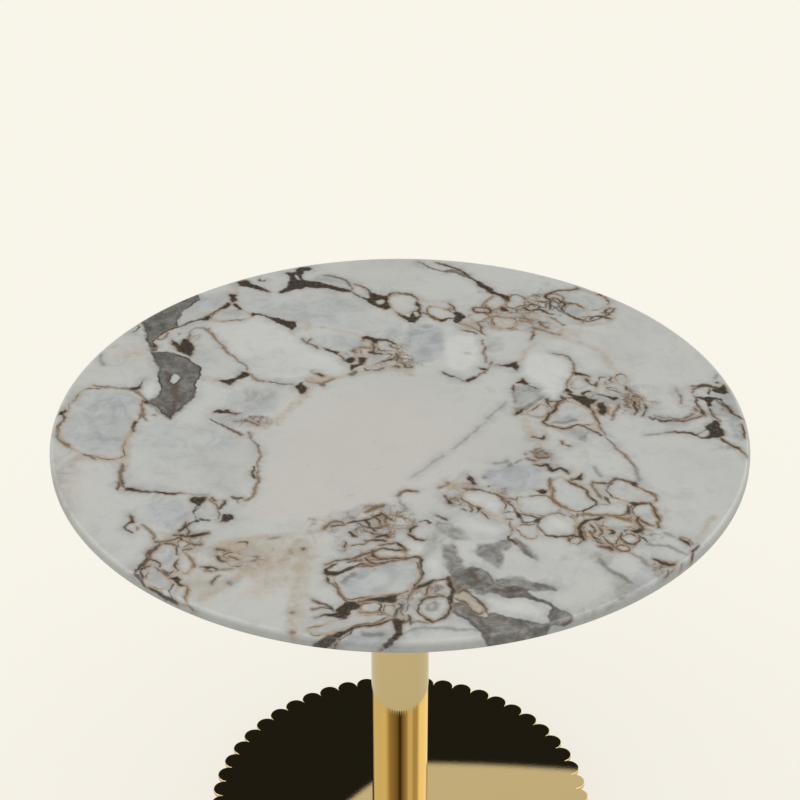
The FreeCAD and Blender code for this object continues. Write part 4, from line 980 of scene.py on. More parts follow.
    def cracked_stone(self, colour):
        """Bent cells with tinted insides and rusty gaps, and crinkled lines through them."""
        tree, look, place, broad = self.tree, self.look, self.place, self.broad
        warped = place
        for bend in (COARSE_BEND, FINE_BEND):
            warped = vector(tree, "ADD", {0: warped, 1: wander(tree, place, *bend)})
        cells = {"Vector": warped, "Scale": CELLS_PER_METRE}
        away = put(tree, "ShaderNodeTexVoronoi", cells, feature="DISTANCE_TO_EDGE").outputs["Distance"]
        shade_of_cell = put(tree, "ShaderNodeTexVoronoi", cells).outputs["Color"]
        gap = calc(tree, "SUBTRACT", away, span(tree, self.swell, -0.06, 0.06))
        fringe = times(tree, ease(tree, gap, 0.18, 0.0), ease(tree, broad, 0.35, 0.6))
        crinkle = calc(tree, "ABSOLUTE", calc(tree, "SUBTRACT", grain(tree, place, *CRINKLE_NOISE), 0.5))
        crinkle = calc(tree, "SUBTRACT", crinkle, span(tree, self.swell, -0.03, 0.03))
        broken = ease(tree, self.drawn("crackle", broad, 0.7), 0.2, 0.6)
        layers = (
            (ease(tree, self.wisp, 0.3, 0.65), look.mist, 0.6),
            (ease(tree, shade_of_cell, 0.40, 0.70), look.blue, 0.7),
            (fringe, look.rust, 0.6),
            (ease(tree, gap, 0.05, -0.05), self.vein, 0.35),
            (ease(tree, crinkle, 0.05, 0.0), look.rust, 0.3),
            (ease(tree, crinkle, 0.015, -0.015), self.vein, 0.6),
        )
        for share, tone, most in layers:
            colour = self.lay(times(tree, broken, share), colour, tone, most)
        return colour

    def rings(self, colour):
        """Tan borders and brown lines round the ringed stones."""
        tree, look, swell = self.tree, self.look, self.swell
        line = calc(tree, "ABSOLUTE", self.drawn("ring", self.fine, 0.6))
        line = calc(tree, "SUBTRACT", line, span(tree, swell, -0.45, 0.65))
        patchy = span(tree, ease(tree, self.broad, 0.3, 0.6), 0.4, 1.0)
        border = times(tree, ease(tree, line, 3.2, 0.0), patchy)
        colour = self.lay(border, colour, look.tan, 0.8)
        brown = blend(tree, ease(tree, swell, 0.25, 0.9), look.rust, self.vein)
        return self.lay(ease(tree, line, 0.6, -0.4), colour, brown, 0.85)

    def veins(self, colour):
        """Rust lines and dark veins with a rusty glow, and a fine speck over everything."""
        tree, look, dark = self.tree, self.look, self.dark
        rust = self.drawn("rust", self.middle, 0.8)
        glow = ease(tree, calc(tree, "MINIMUM", dark, rust), 2.8, 0.0)
        colour = self.lay(times(tree, glow, ease(tree, self.broad, 0.3, 0.62)), colour, look.rust, 0.6)
        colour = self.lay(ease(tree, rust, 0.9, -0.7), colour, scaled(look.rust, 0.55), 0.8)
        flaked = span(tree, ease(tree, grain(tree, self.place, *FLAKE_NOISE), 0.36, 0.52), 0.86, 1.0)
        colour = self.lay(times(tree, ease(tree, dark, 0.7, -0.9), flaked), colour, self.vein)
        return vector(tree, "SCALE", {0: colour, "Scale": span(tree, self.fine, 0.93, 1.07)})

    def polish(self):
        """A polished face and a satin rim."""
        tree, gloss = self.tree, self.look.gloss
        out = calc(tree, "MULTIPLY_ADD", self.along, self.along, times(tree, self.across, self.across))
        satin = ease(tree, calc(tree, "SQRT", out), SATIN_FROM, SATIN_TO)
        rough = span(tree, self.broad, gloss - 0.02, gloss + 0.03)
        rough = calc(tree, "ADD", rough, span(tree, satin, 0.0, SATIN_ROUGHNESS))
        tree.links.new(rough, self.shader.inputs["Roughness"])
        self.shader.inputs["IOR"].default_value = GLASS_IOR


def marble_print(look):
    """The printed stone, each layer laid over the last."""
    stone = StonePrint(look)
    colour = stone.ground()
    for layer in (stone.stains, stone.grey_patches, stone.cracked_stone, stone.rings, stone.veins):
        colour = layer(colour)
    stone.tree.links.new(colour, stone.shader.inputs["Base Color"])
    stone.polish()
    return stone.material


def polished_gold(look):
    """Mirror-bright plating with a slight drift of colour and faint polishing marks."""
    material, tree, shader, place = new_material("polished_gold")
    drift = grain(tree, place, *GOLD_DRIFT)
    marks = grain(tree, stretched(tree, place, GOLD_MARKS), 1.0, 3.0)
    tree.links.new(blend(tree, drift, look.colour, look.warm), shader.inputs["Base Color"])
    tree.links.new(span(tree, marks, *GOLD_ROUGHNESS), shader.inputs["Roughness"])
    shader.inputs["Metallic"].default_value = 1.0
    bumped(tree, shader, marks, *GOLD_BUMP)
    return material


def grained_metal(name, colour, rough, stretch):
    """Turned or plated steel: fine marks in colour, roughness and bump."""
    material, tree, shader, place = new_material(name)
    marks = grain(tree, stretched(tree, place, stretch), 1.0, 4.0, 0.6)
    cloud = grain(tree, place, 120.0, 3.0)
    tone = blend(tree, marks, *(scaled(colour, share) for share in METAL_SHADES))
    tree.links.new(tone, shader.inputs["Base Color"])
    worn = span(tree, cloud, *(rough + more for more in METAL_SPREAD))
    tree.links.new(worn, shader.inputs["Roughness"])
    shader.inputs["Metallic"].default_value = 1.0
    bumped(tree, shader, marks, *METAL_BUMP)
    return material


def matt_finish(name, colour, rough, pebble, depth):
    """Film, paint, rubber or nylon: a pebbled skin with slight cloudiness."""
    material, tree, shader, place = new_material(name)
    skin = grain(tree, place, pebble, 3.0, 0.6)
    cloud = grain(tree, place, pebble / PEBBLES_PER_CLOUD, 3.0)
    tone = blend(tree, cloud, *(scaled(colour, share) for share in MATT_SHADES))
    tree.links.new(tone, shader.inputs["Base Color"])
    worn = span(tree, skin, *(rough + more for more in MATT_SPREAD))
    tree.links.new(worn, shader.inputs["Roughness"])
    bumped(tree, shader, skin, MATT_BUMP, depth)
    return material


def gold_finish(context):
    """The gold that all gold pieces share."""
    return bpy.data.materials.get("polished_gold") or polished_gold(context.scene.wine_table.gold)


def new_piece(name, bm, material, node):
    """Makes a piece from a bmesh, in place of a CAD node, riding on the table."""
    mesh = bpy.data.meshes.new(name)
    bm.to_mesh(mesh)
    bm.free()
    mesh.materials.append(material)
    piece = bpy.data.objects.new(name, mesh)
    bpy.context.scene.collection.objects.link(piece)
    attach(piece, "root")
    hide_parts(node)
    return piece


def dress(nodes, material):
    """Gives CAD nodes a material."""
    for part in (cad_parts[node] for node in nodes):
        if not part.material_slots:
            part.data.materials.append(material)
        for place in part.material_slots:
            place.material = material


def turned(profile, steps, closed):
    """A bmesh turned about the vertical axis from (radius, height) points."""
    bm = bmesh.new()
    points = [bm.verts.new((radius, 0.0, height)) for radius, height in profile]
    pairs = list(zip(points, points[1:] + points[:1])) if closed else list(zip(points, points[1:]))
    edges = [bm.edges.new(pair) for pair in pairs]
    bmesh.ops.spin(bm, geom=points + edges, cent=(0, 0, 0), axis=(0, 0, 1), angle=2 * math.pi,
                   steps=steps, use_merge=True)
    bmesh.ops.remove_doubles(bm, verts=bm.verts, dist=MERGE)
    bmesh.ops.recalc_face_normals(bm, faces=bm.faces)
    return bm


def rim_edges(bm, height, radius=None):
    """The edges that lie level at a height, and on a radius where one is given."""
    found = []
    for edge in bm.edges:
        level = all(abs(v.co.z - height) < SAME_PLACE for v in edge.verts)
        in_place = radius is None or all(abs(v.co.xy.length - radius) < SAME_PLACE for v in edge.verts)
        if level and in_place:
            found.append(edge)
    return found


def only_verts(geometry):
    """The corners among the things that a bmesh step gave back."""
    return [item for item in geometry if isinstance(item, bmesh.types.BMVert)]


def crease_rims(bm, heights):
    """Keeps the level rims at some heights sharp."""
    for height in heights:
        for edge in rim_edges(bm, height):
            edge.smooth = False


def round_off(bm, edges, size, segments):
    """Rounds edges off."""
    bmesh.ops.bevel(bm, geom=edges, offset=size, offset_type="OFFSET", segments=segments, profile=0.5,
                    affect="EDGES", clamp_overlap=True, material=-1)


def shade(bm, limit=35.0):
    """Smooth faces, with a crease where two of them meet at more than a limit in degrees."""
    for face in bm.faces:
        face.smooth = True
    for edge in bm.edges:
        edge.smooth = len(edge.link_faces) == 2 and edge.calc_face_angle() < math.radians(limit)


def near_shape(points, shape, reach):
    """Which points lie within reach of a shape's box."""
    low, high = shape.min(0) - reach, shape.max(0) + reach
    return np.flatnonzero(np.all((points > low) & (points < high), axis=1))


def to_segment(points, start, end):
    """Distance from each point to a segment, and how far along it the nearest place is."""
    along = end - start
    share = np.clip((points - start) @ along / max(along @ along, TINY), 0.0, 1.0)
    return np.hypot(*(points - start - share[:, None] * along).T), share


def cut_sides(starts, ends, share):
    """Two places on each side, a share of its length in from either end."""
    first, second = (1.0 - share) * starts + share * ends, share * starts + (1.0 - share) * ends
    return np.stack([first, second], axis=1).reshape(-1, 2)


def rounded_line(path):
    """A line with its corners cut once."""
    if len(path) < 3:
        return path
    return np.concatenate([path[:1], cut_sides(path[:-1], path[1:], LINE_CUT), path[-1:]])


def rounded_patch(corners):
    """A closed outline with its corners cut once."""
    return cut_sides(corners, np.roll(corners, -1, axis=0), PATCH_CUT)


def line_field(points, rows):
    """Distance to the edges of the drawn lines, below zero inside them."""
    best = np.full(len(points), VEIN_REACH)
    for width, *numbers in rows:
        path = rounded_line(np.array(numbers, float).reshape(-1, 2))
        path = path if len(path) > 1 else np.concatenate([path, path])
        taper = np.sqrt(np.sin(np.pi * np.linspace(*LINE_TAPER, len(path))))
        half = 0.5 * width * (LINE_END + (1.0 - LINE_END) * taper)
        hit = near_shape(points, path, VEIN_REACH)
        for i in range(len(path) - 1):
            away, share = to_segment(points[hit], path[i], path[i + 1])
            away -= half[i] + (half[i + 1] - half[i]) * share
            best[hit] = np.minimum(best[hit], away)
    return best


def patch_field(points, rows):
    """Distance to the edges of the drawn patches, below zero inside them."""
    best = np.full(len(points), VEIN_REACH)
    for row in rows:
        corners = rounded_patch(np.array(row, float).reshape(-1, 2))
        hit = near_shape(points, corners, VEIN_REACH)
        spots = points[hit]
        away, inside = np.full(len(hit), VEIN_REACH), np.zeros(len(hit), bool)
        for start, end in zip(corners, np.roll(corners, -1, axis=0)):
            away = np.minimum(away, to_segment(spots, start, end)[0])
            spans = (start[1] > spots[:, 1]) != (end[1] > spots[:, 1])
            slope = (end[0] - start[0]) / (end[1] - start[1] or TINY)
            inside ^= spans & (spots[:, 0] < start[0] + (spots[:, 1] - start[1]) * slope)
        best[hit] = np.minimum(best[hit], np.where(inside, -away, away))
    return best


def ripple(points):
    """A small wander, in millimetres, that keeps drawn lines from running straight."""
    x, y = points.T
    across = 0.6 * np.sin(0.41 * y + 1.1 * np.sin(0.23 * x)) + 0.3 * np.sin(0.97 * y + 0.61 * x)
    along = 0.6 * np.sin(0.37 * x + 1.3 * np.sin(0.19 * y) + 2.0) + 0.3 * np.sin(1.03 * x - 0.53 * y)
    return np.stack([across, along], axis=1)


def stone_field(points, rows, margin=STONE_MARGIN):
    """The tint of the drawn stones: full strength inside, fading out over a margin."""
    best = np.zeros(len(points))
    for strength, *corners in rows:
        away = patch_field(points, [corners])
        best = np.maximum(best, strength * np.clip((1.0 - away) / margin, 0.0, 1.0))
    return best


def zone_field(points, rows):
    """Soft round zones added up: centre, reach and strength of each."""
    x, y = points.T
    return sum(s * np.exp(-((x - cx) / rx) ** 2 - ((y - cy) / ry) ** 2) for cx, cy, rx, ry, s in rows)


def on_drawing(places):
    """Where places on the glass, in metres, lie on the drawing, in millimetres: the rim is rolled flat."""
    reach = np.maximum(np.hypot(places[:, 0], places[:, 1]), TINY)
    unrolled = 1.0 + RIM_STRETCH * (glass_high.z - places[:, 2]) / reach
    x, y = (places[:, :2] * unrolled[:, None] / MM).T
    across = x * (DRAWING_SCALE[0] + DRAWING_SPREAD * y)
    away = y * (DRAWING_SCALE[1] + DRAWING_SPREAD * y) + DRAWING_SHIFT
    return np.stack([across, away], axis=1)


def stone_fields(places):
    """The pattern's distances, tints and zones at places on the glass."""
    points = on_drawing(places)
    points = points + ripple(points)
    holes = patch_field(points, PALE_HOLES)
    dark = np.minimum(line_field(points, DARK_VEINS), patch_field(points, DARK_PATCHES))
    grey = patch_field(points, GREY_PATCHES)
    ring = np.min([patch_field(points, [corners]) for _, *corners in RINGED_STONES], axis=0)
    smoke = stone_field(points, SMOKY_PATCHES, SMOKE_MARGIN)
    fields = {
        "dark": np.maximum(dark, -holes),
        "grey": np.maximum(grey, -holes),
        "rust": line_field(points, RUST_VEINS),
        "tan": line_field(points, TAN_STAINS),
        "hair": line_field(points, GREY_LINES),
        "ring": ring,
        "cool": stone_field(points, COOL_STONES + RINGED_STONES),
        "cream": zone_field(points, CREAM_ZONES),
        "warm": zone_field(points, WARM_ZONES),
        "pale": stone_field(points, PALE_STONES),
        # Smoke patches and zones in the print, with painted shade on the rim from the rim zones
        "smoky": np.maximum(zone_field(points, SMOKE_AND_RIM_SHADE_ZONES), smoke),
        "crackle": zone_field(points, CRACKLE_ZONES) * np.clip(0.5 + ring, 0.0, 1.0),
    }
    fields["edge"] = np.minimum.reduce(
        [fields["dark"], fields["rust"] + RIM_SHADE, fields["hair"] + HAIR_SHADE,
         np.abs(fields["grey"]) + RIM_SHADE, np.abs(ring) + RIM_SHADE])
    return fields


def split_near_veins(bm, reach, sharp_only):
    """Splits the cells of the top that lie near the edge of a vein or patch."""
    bm.faces.ensure_lookup_table()
    centres = np.array([face.calc_center_median() for face in bm.faces])
    fields = stone_fields(centres)
    names = ("dark", "grey") if sharp_only else ("dark", "grey", "rust", "hair", "ring")
    near = np.min([np.abs(fields[name]) for name in names], axis=0) < reach
    edges = {edge for i in np.flatnonzero(near) for edge in bm.faces[i].edges}
    bmesh.ops.subdivide_edges(bm, edges=list(edges), cuts=1, use_grid_fill=True)


def top_mesh(look):
    """The glass: a round grid split near the veins, with a rounded rim swept down from its edge."""
    bend, nip = look.upper_edge, look.lower_edge
    radius, flat = glass_high.x, glass_high.x - bend
    grid_radius = flat - GRID_GAP
    bm = bmesh.new()
    cells = round(2 * radius / look.cell)
    bmesh.ops.create_grid(bm, x_segments=cells, y_segments=cells, size=1.0)
    for vert in bm.verts:
        x, y = vert.co.xy
        out = Vector((x * math.sqrt(1 - y * y / 2), y * math.sqrt(1 - x * x / 2))) * grid_radius
        vert.co = (*out, glass_high.z)
    for reach, sharp_only in VEIN_SPLITS:
        split_near_veins(bm, reach, sharp_only)
    ring = [edge for edge in bm.edges if edge.is_boundary]
    for vert in {v for edge in ring for v in edge.verts}:
        vert.co.xy = vert.co.xy.normalized() * grid_radius
    top, low = glass_high.z, glass_low.z
    outline = [(flat, top)]
    for i in range(1, UPPER_STEPS + 1):
        turn = 0.5 * math.pi * i / UPPER_STEPS
        outline.append((flat + bend * math.sin(turn), top - bend * (1 - math.cos(turn))))
    outline += [(radius, 0.5 * (top - bend + low)), (radius, low + nip)]
    for i in range(1, LOWER_STEPS + 1):
        turn = 0.5 * math.pi * i / LOWER_STEPS
        outline.append((radius - nip * (1 - math.cos(turn)), low + nip * (1 - math.sin(turn))))
    outline.append((UNDERSIDE_RING * flat, low))
    for reach, height in outline:
        made = bmesh.ops.extrude_edge_only(bm, edges=ring)["geom"]
        ring = [item for item in made if isinstance(item, bmesh.types.BMEdge)]
        for vert in only_verts(made):
            vert.co = (*(vert.co.xy.normalized() * reach), height)
    bmesh.ops.edgeloop_fill(bm, edges=ring)
    bmesh.ops.recalc_face_normals(bm, faces=bm.faces)
    bmesh.ops.triangulate(bm, faces=bm.faces, quad_method="BEAUTY", ngon_method="BEAUTY")
    shade(bm, TOP_CREASE)
    return bm


def lay_bake_map(mesh):
    """A flat map for the top and its rim, with the hidden underside small in one corner."""
    count = len(mesh.loops)
    corners, places = np.zeros(count, np.int32), np.zeros(3 * len(mesh.vertices))
    mesh.loops.foreach_get("vertex_index", corners)
    mesh.vertices.foreach_get("co", places)
    places = places.reshape(-1, 3)
    reach = np.maximum(np.hypot(places[:, 0], places[:, 1]), TINY)
    drop = glass_high.z - places[:, 2]
    spread = (reach + MAP_ROLL * drop) / (glass_high.x + MAP_REACH * (glass_high.z - glass_low.z))
    flat = 0.5 + 0.5 * places[:, :2] / reach[:, None] * spread[:, None]
    under = UNDER_PLACE + UNDER_SIZE * places[:, :2] / glass_high.x
    low = np.zeros(count, bool)
    for face in mesh.polygons:
        if face.normal.z < FACING_DOWN and face.center.z < glass_low.z + UNDER_GAP:
            low[face.loop_start:face.loop_start + face.loop_total] = True
    spots = np.where(low[:, None], under[corners], flat[corners])
    mesh.uv_layers.new(name="OFBake").data.foreach_set("uv", spots.astype(np.float32).ravel())


class WINETABLE_OT_marble_top(bpy.types.Operator):
    """Build the printed glass top with its rounded rim and drawn stone pattern"""
    bl_idname = "winetable.marble_top"
    bl_label = "Marble Top"

    def execute(self, context):
        look = context.scene.wine_table.top
        piece = new_piece("marble_top", top_mesh(look), marble_print(look), "glass_top")
        mesh = piece.data
        places = np.zeros(3 * len(mesh.vertices))
        mesh.vertices.foreach_get("co", places)
        for name, values in stone_fields(places.reshape(-1, 3)).items():
            layer = mesh.attributes.new(name, "FLOAT", "POINT")
            layer.data.foreach_set("value", values.astype(np.float32))
        lay_bake_map(mesh)
        return {"FINISHED"}


class WINETABLE_OT_column(bpy.types.Operator):
    """Build the polished column as a tube with broken edges"""
    bl_idname = "winetable.column"
    bl_label = "Column"

    def execute(self, context):
        look = context.scene.wine_table.gold
        outer, inner = column_high.x, column_high.x - look.column_wall
        low, high = column_low.z, column_high.z
        corners = [(inner, low), (outer, low), (outer, high), (inner, high)]
        bm = turned(corners, COLUMN_STEPS, True)
        ends = rim_edges(bm, low, outer) + rim_edges(bm, high, outer)
        round_off(bm, ends, look.edge_break, segments=3)
        inset = COLUMN_LOOPS * look.edge_break
        for height in (low + inset, high - inset):
            bmesh.ops.bisect_plane(bm, geom=bm.verts[:] + bm.edges[:] + bm.faces[:], dist=MERGE,
                                   plane_co=(0, 0, height), plane_no=(0, 0, 1))
        shade(bm)
        new_piece("gold_column", bm, gold_finish(context), "column_tube")
        return {"FINISHED"}


class WINETABLE_OT_base_plate(bpy.types.Operator):
    """Build the scalloped base plate with softened edges and its screw holes"""
    bl_idname = "winetable.base_plate"
    bl_label = "Scalloped Base"

    def outline(self, bm, look):
        """Shapes a circle into lobes, each one an arc between two notches."""
        steps, pitch = LOBE_STEPS, 2 * math.pi / look.lobe_count
        half_width = look.notch_radius * math.sin(pitch / 2)
        crown = look.notch_radius + look.lobe_fullness * half_width
        rise = crown - look.notch_radius * math.cos(pitch / 2)
        arc_radius = (half_width ** 2 + rise ** 2) / (2 * rise)
        swing = 2 * math.atan2(rise, half_width)
        ring = bmesh.ops.create_circle(bm, segments=look.lobe_count * steps, radius=crown)["verts"]
        for i, vert in enumerate(ring):
            middle = look.first_lobe + (i // steps) * pitch
            turn = swing * (2 * (i % steps) / steps - 1)
            out, across = crown - arc_radius * (1 - math.cos(turn)), arc_radius * math.sin(turn)
            vert.co = (out * math.cos(middle) - across * math.sin(middle),
                       out * math.sin(middle) + across * math.cos(middle), base_low.z)

    def drill(self, bm, look, heights):
        """Refills the two faces round the screw holes and closes the holes' walls."""
        for i in range(look.screw_count):
            angle = math.pi / 2 + 2 * math.pi * i / look.screw_count
            centre = Vector((math.cos(angle), math.sin(angle), 0.0)) * look.screw_circle
            rims = []
            for height in heights:
                circle = bmesh.ops.create_circle(bm, segments=HOLE_STEPS, radius=look.screw_hole)
                ring = circle["verts"]
                bmesh.ops.translate(bm, verts=ring, vec=centre + Vector((0, 0, height)))
                rims += {edge for vert in ring for edge in vert.link_edges}
            bmesh.ops.bridge_loops(bm, edges=rims)
        for height in heights:
            rim = [edge for edge in rim_edges(bm, height) if len(edge.link_faces) == 1]
            if not bmesh.ops.triangle_fill(bm, edges=rim, use_beauty=True, normal=(0, 0, 1))["geom"]:
                raise RuntimeError("a face of the base plate did not fill")

    def execute(self, context):
        look = context.scene.wine_table.gold
        bm = bmesh.new()
        self.outline(bm, look)
        low_cap = bmesh.ops.contextual_create(bm, geom=bm.edges[:])["faces"]
        lift = bmesh.ops.extrude_face_region(bm, geom=low_cap, use_keep_orig=True)["geom"]
        bmesh.ops.translate(bm, verts=only_verts(lift), vec=(0, 0, base_high.z - base_low.z))
        bmesh.ops.recalc_face_normals(bm, faces=bm.faces)
        heights = (base_low.z, base_high.z)
        rims = [edge for height in heights for edge in rim_edges(bm, height)]
        round_off(bm, rims, look.edge_break, segments=2)
        caps = [face for face in bm.faces if len(face.verts) > 4]
        bmesh.ops.delete(bm, geom=caps, context="FACES_ONLY")
        self.drill(bm, look, heights)
        bmesh.ops.recalc_face_normals(bm, faces=bm.faces)
        shade(bm)
        crease_rims(bm, heights)
        new_piece("scalloped_base", bm, gold_finish(context), "base_plate")
        return {"FINISHED"}


class WINETABLE_OT_mount_plate(bpy.types.Operator):
    """Build the plate under the glass with its softened edge and sunk bore"""
    bl_idname = "winetable.mount_plate"
    bl_label = "Mount Plate"

    def execute(self, context):
        look = context.scene.wine_table.gold
        low, high, rim = mount_low.z, mount_high.z, mount_high.x
        step = high - look.stud_head_depth
        profile = [(look.stud_hole, low), (rim, low), (rim, high), (look.stud_head_hole, high),
                   (look.stud_head_hole, step), (look.stud_hole, step)]
        bm = turned(profile, MOUNT_STEPS, True)
        round_off(bm, rim_edges(bm, low, rim), MOUNT_ROUNDING * look.edge_break, segments=4)
        round_off(bm, rim_edges(bm, high, rim), look.edge_break, segments=2)
        shade(bm)
        crease_rims(bm, (low, high))
        new_piece("gold_mount_plate", bm, gold_finish(context), "mount_plate")
        return {"FINISHED"}


class WINETABLE_OT_foot_pads(bpy.types.Operator):
    """Build the rubber foot pads with rounded edges and two grip grooves"""
    bl_idname = "winetable.foot_pads"
    bl_label = "Foot Pads"

    def execute(self, context):
        look = context.scene.wine_table.underside
        low, high, rim = pads_low.z, pads_high.z, look.pad_radius
        profile = [(0.0, high), (rim, high), (rim, low)]
        deep = low + GROOVE_DEPTH
        for middle in (share * rim for share in GROOVES):
            profile += [(middle + GROOVE_MOUTH, low), (middle + GROOVE_FLOOR, deep),
                        (middle - GROOVE_FLOOR, deep), (middle - GROOVE_MOUTH, low)]
        bm = turned(profile + [(0.0, low)], PAD_STEPS, False)
        round_off(bm, rim_edges(bm, low, rim), PAD_LOWER_EDGE, segments=4)
        round_off(bm, rim_edges(bm, high, rim), PAD_UPPER_EDGE, segments=2)
        shade(bm)
        circle = pads_high.x - rim
        first = bm.verts[:] + bm.edges[:] + bm.faces[:]
        for i in range(1, look.pad_count):
            angle = 2 * math.pi * i / look.pad_count
            copy = bmesh.ops.duplicate(bm, geom=first)["geom"]
            place = Vector((math.cos(angle), math.sin(angle), 0.0)) * circle
            bmesh.ops.translate(bm, verts=only_verts(copy), vec=place)
        bmesh.ops.translate(bm, verts=only_verts(first), vec=(circle, 0, 0))
        rubber = matt_finish("pad_rubber", look.rubber, *RUBBER)
        new_piece("rubber_pads", bm, rubber, "foot_pads")
        return {"FINISHED"}


class WINETABLE_OT_fittings(bpy.types.Operator):
    """Give the carried-over fittings their finishes"""
    bl_idname = "winetable.fittings"
    bl_label = "Fittings"

    def execute(self, context):
        look = context.scene.wine_table.underside
        for name, setting, rough, pebble, depth, nodes in MATT_FINISHES:
            dress(nodes, matt_finish(name, getattr(look, setting), rough, pebble, depth))
        for name, setting, rough, stretch, nodes in METAL_FINISHES:
            dress(nodes, grained_metal(name, getattr(look, setting), rough, stretch))
        return {"FINISHED"}


def studio_floor(look):
    """A pale floor that keeps a soft shadow near the table and is clear from below."""
    material = bpy.data.materials.new("studio_floor")
    material.use_nodes = True
    tree = material.node_tree
    tree.nodes.remove(tree.nodes["Principled BSDF"])
    ray = put(tree, "ShaderNodeLightPath").outputs
    place = put(tree, "ShaderNodeTexCoord").outputs["Object"]
    away = put(tree, "ShaderNodeVectorMath", {0: place}, operation="LENGTH").outputs["Value"]
    seen = calc(tree, "MAXIMUM", ray["Is Camera Ray"], ray["Is Transmission Ray"])
    seen = calc(tree, "MAXIMUM", seen, ray["Is Glossy Ray"])
    even = span(tree, ease(tree, away, *SHADOW_FADE), 1.0 - look.shadow_share, 1.0)
    colour = (*look.backdrop, 1.0)
    level = span(tree, ray["Is Glossy Ray"], 1.0, look.mirror_level)
    bounce = blend(tree, seen, (look.bounce,) * 3, look.backdrop)
    lit = put(tree, "ShaderNodeBsdfDiffuse", {"Color": bounce}).outputs[0]
    glow = put(tree, "ShaderNodeEmission", {"Color": colour, "Strength": level}).outputs[0]
    share = times(tree, seen, even)
    face = put(tree, "ShaderNodeMixShader", {0: share, 1: lit, 2: glow}).outputs[0]
    back = put(tree, "ShaderNodeNewGeometry").outputs["Backfacing"]
    clear = put(tree, "ShaderNodeBsdfTransparent").outputs[0]
    both = put(tree, "ShaderNodeMixShader", {0: back, 1: face, 2: clear}).outputs[0]
    tree.links.new(both, tree.nodes["Material Output"].inputs["Surface"])
    return material


def studio_room(look):
    """Even light for the table, the backdrop for the camera, and a room of panels for the mirrors."""
    world = bpy.data.worlds.new("studio_room")
    world.use_nodes = True
    tree = world.node_tree
    tree.nodes.remove(tree.nodes["Background"])
    ray = put(tree, "ShaderNodeLightPath").outputs
    aim = put(tree, "ShaderNodeTexCoord").outputs["Generated"]
    x, y, z = put(tree, "ShaderNodeSeparateXYZ", {0: aim}).outputs
    round_turn = calc(tree, "ARCTAN2", x, times(tree, y, -1.0))
    share_round = calc(tree, "MULTIPLY_ADD", round_turn, 0.5 / math.pi, 0.5)
    panels = put(tree, "ShaderNodeValToRGB", {0: share_round})
    stops = panels.color_ramp.elements
    while len(stops) < len(ROOM_PANELS):
        stops.new(1.0)
    for stop, (angle, _, _) in zip(stops, ROOM_PANELS):
        stop.position = angle / 360.0 + 0.5
    for stop, (_, level, warmth) in zip(stops, ROOM_PANELS):
        green, blue = (level * (1.0 - fall * warmth) for fall in WARM_FALL)
        stop.color = (level, green, blue, 1.0)
    lean = calc(tree, "DIVIDE", times(tree, x, -1.0), calc(tree, "MAXIMUM", y, LEAST_DEPTH))
    limit = calc(tree, "MULTIPLY_ADD", calc(tree, "MAXIMUM", lean, 0.0), CEILING_RISE, look.ceiling_start)
    above = calc(tree, "SUBTRACT", z, calc(tree, "MINIMUM", limit, CEILING_TOP))
    ceiling = times(tree, ease(tree, above, -CEILING_BLUR, CEILING_BLUR), ease(tree, y, *CEILING_FAR))
    pale = scaled(look.backdrop, look.mirror_level)
    room = blend(tree, ceiling, panels.outputs[0], pale)
    room = blend(tree, ease(tree, z, *LOW_FADE), room, pale)
    white = {"Color": (1.0, 1.0, 1.0, 1.0), "Strength": look.room_light}
    even = put(tree, "ShaderNodeBackground", white).outputs[0]
    shown = put(tree, "ShaderNodeBackground", {"Color": (*look.backdrop, 1.0)}).outputs[0]
    mirrored = put(tree, "ShaderNodeBackground", {"Color": room}).outputs[0]
    seen = calc(tree, "MAXIMUM", ray["Is Camera Ray"], ray["Is Transmission Ray"])
    first = put(tree, "ShaderNodeMixShader", {0: ray["Is Glossy Ray"], 1: even, 2: mirrored}).outputs[0]
    both = put(tree, "ShaderNodeMixShader", {0: seen, 1: first, 2: shown}).outputs[0]
    tree.links.new(both, tree.nodes["World Output"].inputs["Surface"])
    return world


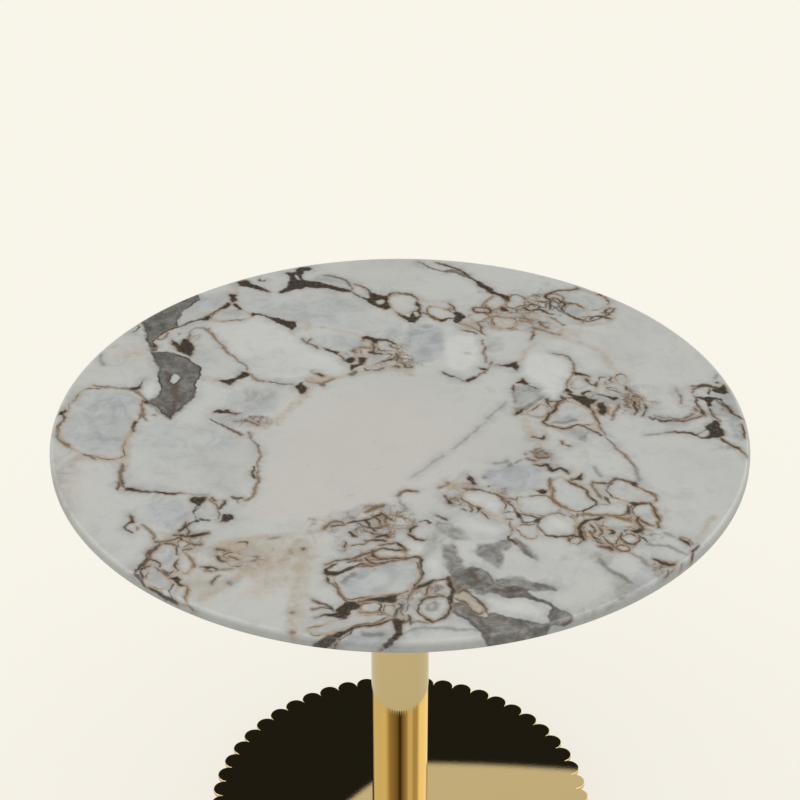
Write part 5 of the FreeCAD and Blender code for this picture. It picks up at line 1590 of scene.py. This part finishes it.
class WINETABLE_OT_stage(bpy.types.Operator):
    """Set the camera, the pale floor and the soft studio light"""
    bl_idname = "winetable.stage"
    bl_label = "Stage"

    def soft_box(self, name, azimuth, width, radiance, mirrored):
        """A soft box that leans over the table from one side; azimuth 0 is the camera's side."""
        turn, level = math.radians(azimuth), math.cos(BOX_TILT)
        away = Vector((math.sin(turn) * level, -math.cos(turn) * level, math.sin(BOX_TILT)))
        lamp = bpy.data.lights.new(name, "AREA")
        lamp.shape, lamp.size, lamp.size_y = "RECTANGLE", width, BOX_HEIGHT
        lamp.energy = radiance * math.pi * width * BOX_HEIGHT
        light = bpy.data.objects.new(name, lamp)
        light.location = BOX_AIM + BOX_DISTANCE * away
        light.rotation_euler = away.to_track_quat("Z", "Y").to_euler()
        light.visible_glossy = mirrored
        bpy.context.scene.collection.objects.link(light)

    def execute(self, context):
        look, scene = context.scene.wine_table.stage, context.scene
        scene.view_settings.view_transform = "Standard"
        scene.world = studio_room(look)
        camera = bpy.data.objects.new("photo_camera", bpy.data.cameras.new("photo_camera"))
        camera.data.sensor_width, camera.data.lens = SENSOR_WIDTH, look.lens
        camera.location = look.camera_place
        camera.rotation_euler = (math.pi / 2 - look.camera_pitch, 0.0, 0.0)
        scene.collection.objects.link(camera)
        scene.camera = camera
        bm = bmesh.new()
        bmesh.ops.create_circle(bm, cap_ends=True, segments=FLOOR_STEPS, radius=FLOOR_RADIUS)
        bmesh.ops.translate(bm, verts=bm.verts, vec=(0, 0, pads_low.z - FLOOR_GAP))
        mesh = bpy.data.meshes.new("studio_floor")
        bm.to_mesh(mesh)
        bm.free()
        mesh.materials.append(studio_floor(look))
        floor = bpy.data.objects.new("studio_floor", mesh)
        scene.collection.objects.link(floor)
        for name, azimuth, width, radiance, mirrored in SOFT_BOXES:
            self.soft_box(name, azimuth, width, radiance * look.box_light, mirrored)
        return {"FINISHED"}


class WINETABLE_PT_panel(bpy.types.Panel):
    bl_idname = "WINETABLE_PT_panel"
    bl_label = "Wine Table"
    bl_space_type = "VIEW_3D"
    bl_region_type = "UI"
    bl_category = "Wine Table"

    def draw(self, context):
        settings = context.scene.wine_table
        groups = (
            (settings.stage, (WINETABLE_OT_stage,)),
            (settings.top, (WINETABLE_OT_marble_top,)),
            (settings.gold, (WINETABLE_OT_column, WINETABLE_OT_base_plate, WINETABLE_OT_mount_plate)),
            (settings.underside, (WINETABLE_OT_foot_pads, WINETABLE_OT_fittings)),
        )
        for group, operators in groups:
            box = self.layout.box()
            for name in group.__annotations__:
                box.prop(group, name)
            for operator in operators:
                box.operator(operator.bl_idname)


CLASSES = (
    TopSettings, GoldSettings, UndersideSettings, StageSettings, WineTableSettings,
    WINETABLE_OT_stage, WINETABLE_OT_marble_top, WINETABLE_OT_column, WINETABLE_OT_base_plate,
    WINETABLE_OT_mount_plate, WINETABLE_OT_foot_pads, WINETABLE_OT_fittings, WINETABLE_PT_panel,
)


def register():
    for cls in CLASSES:
        bpy.utils.register_class(cls)
    bpy.types.Scene.wine_table = PointerProperty(type=WineTableSettings)


def unregister():
    del bpy.types.Scene.wine_table
    for cls in reversed(CLASSES):
        bpy.utils.unregister_class(cls)


def main():
    register()
    bpy.ops.winetable.stage()
    bpy.ops.winetable.marble_top()
    bpy.ops.winetable.column()
    bpy.ops.winetable.base_plate()
    bpy.ops.winetable.mount_plate()
    bpy.ops.winetable.foot_pads()
    bpy.ops.winetable.fittings()


if __name__ == "__main__":
    main()
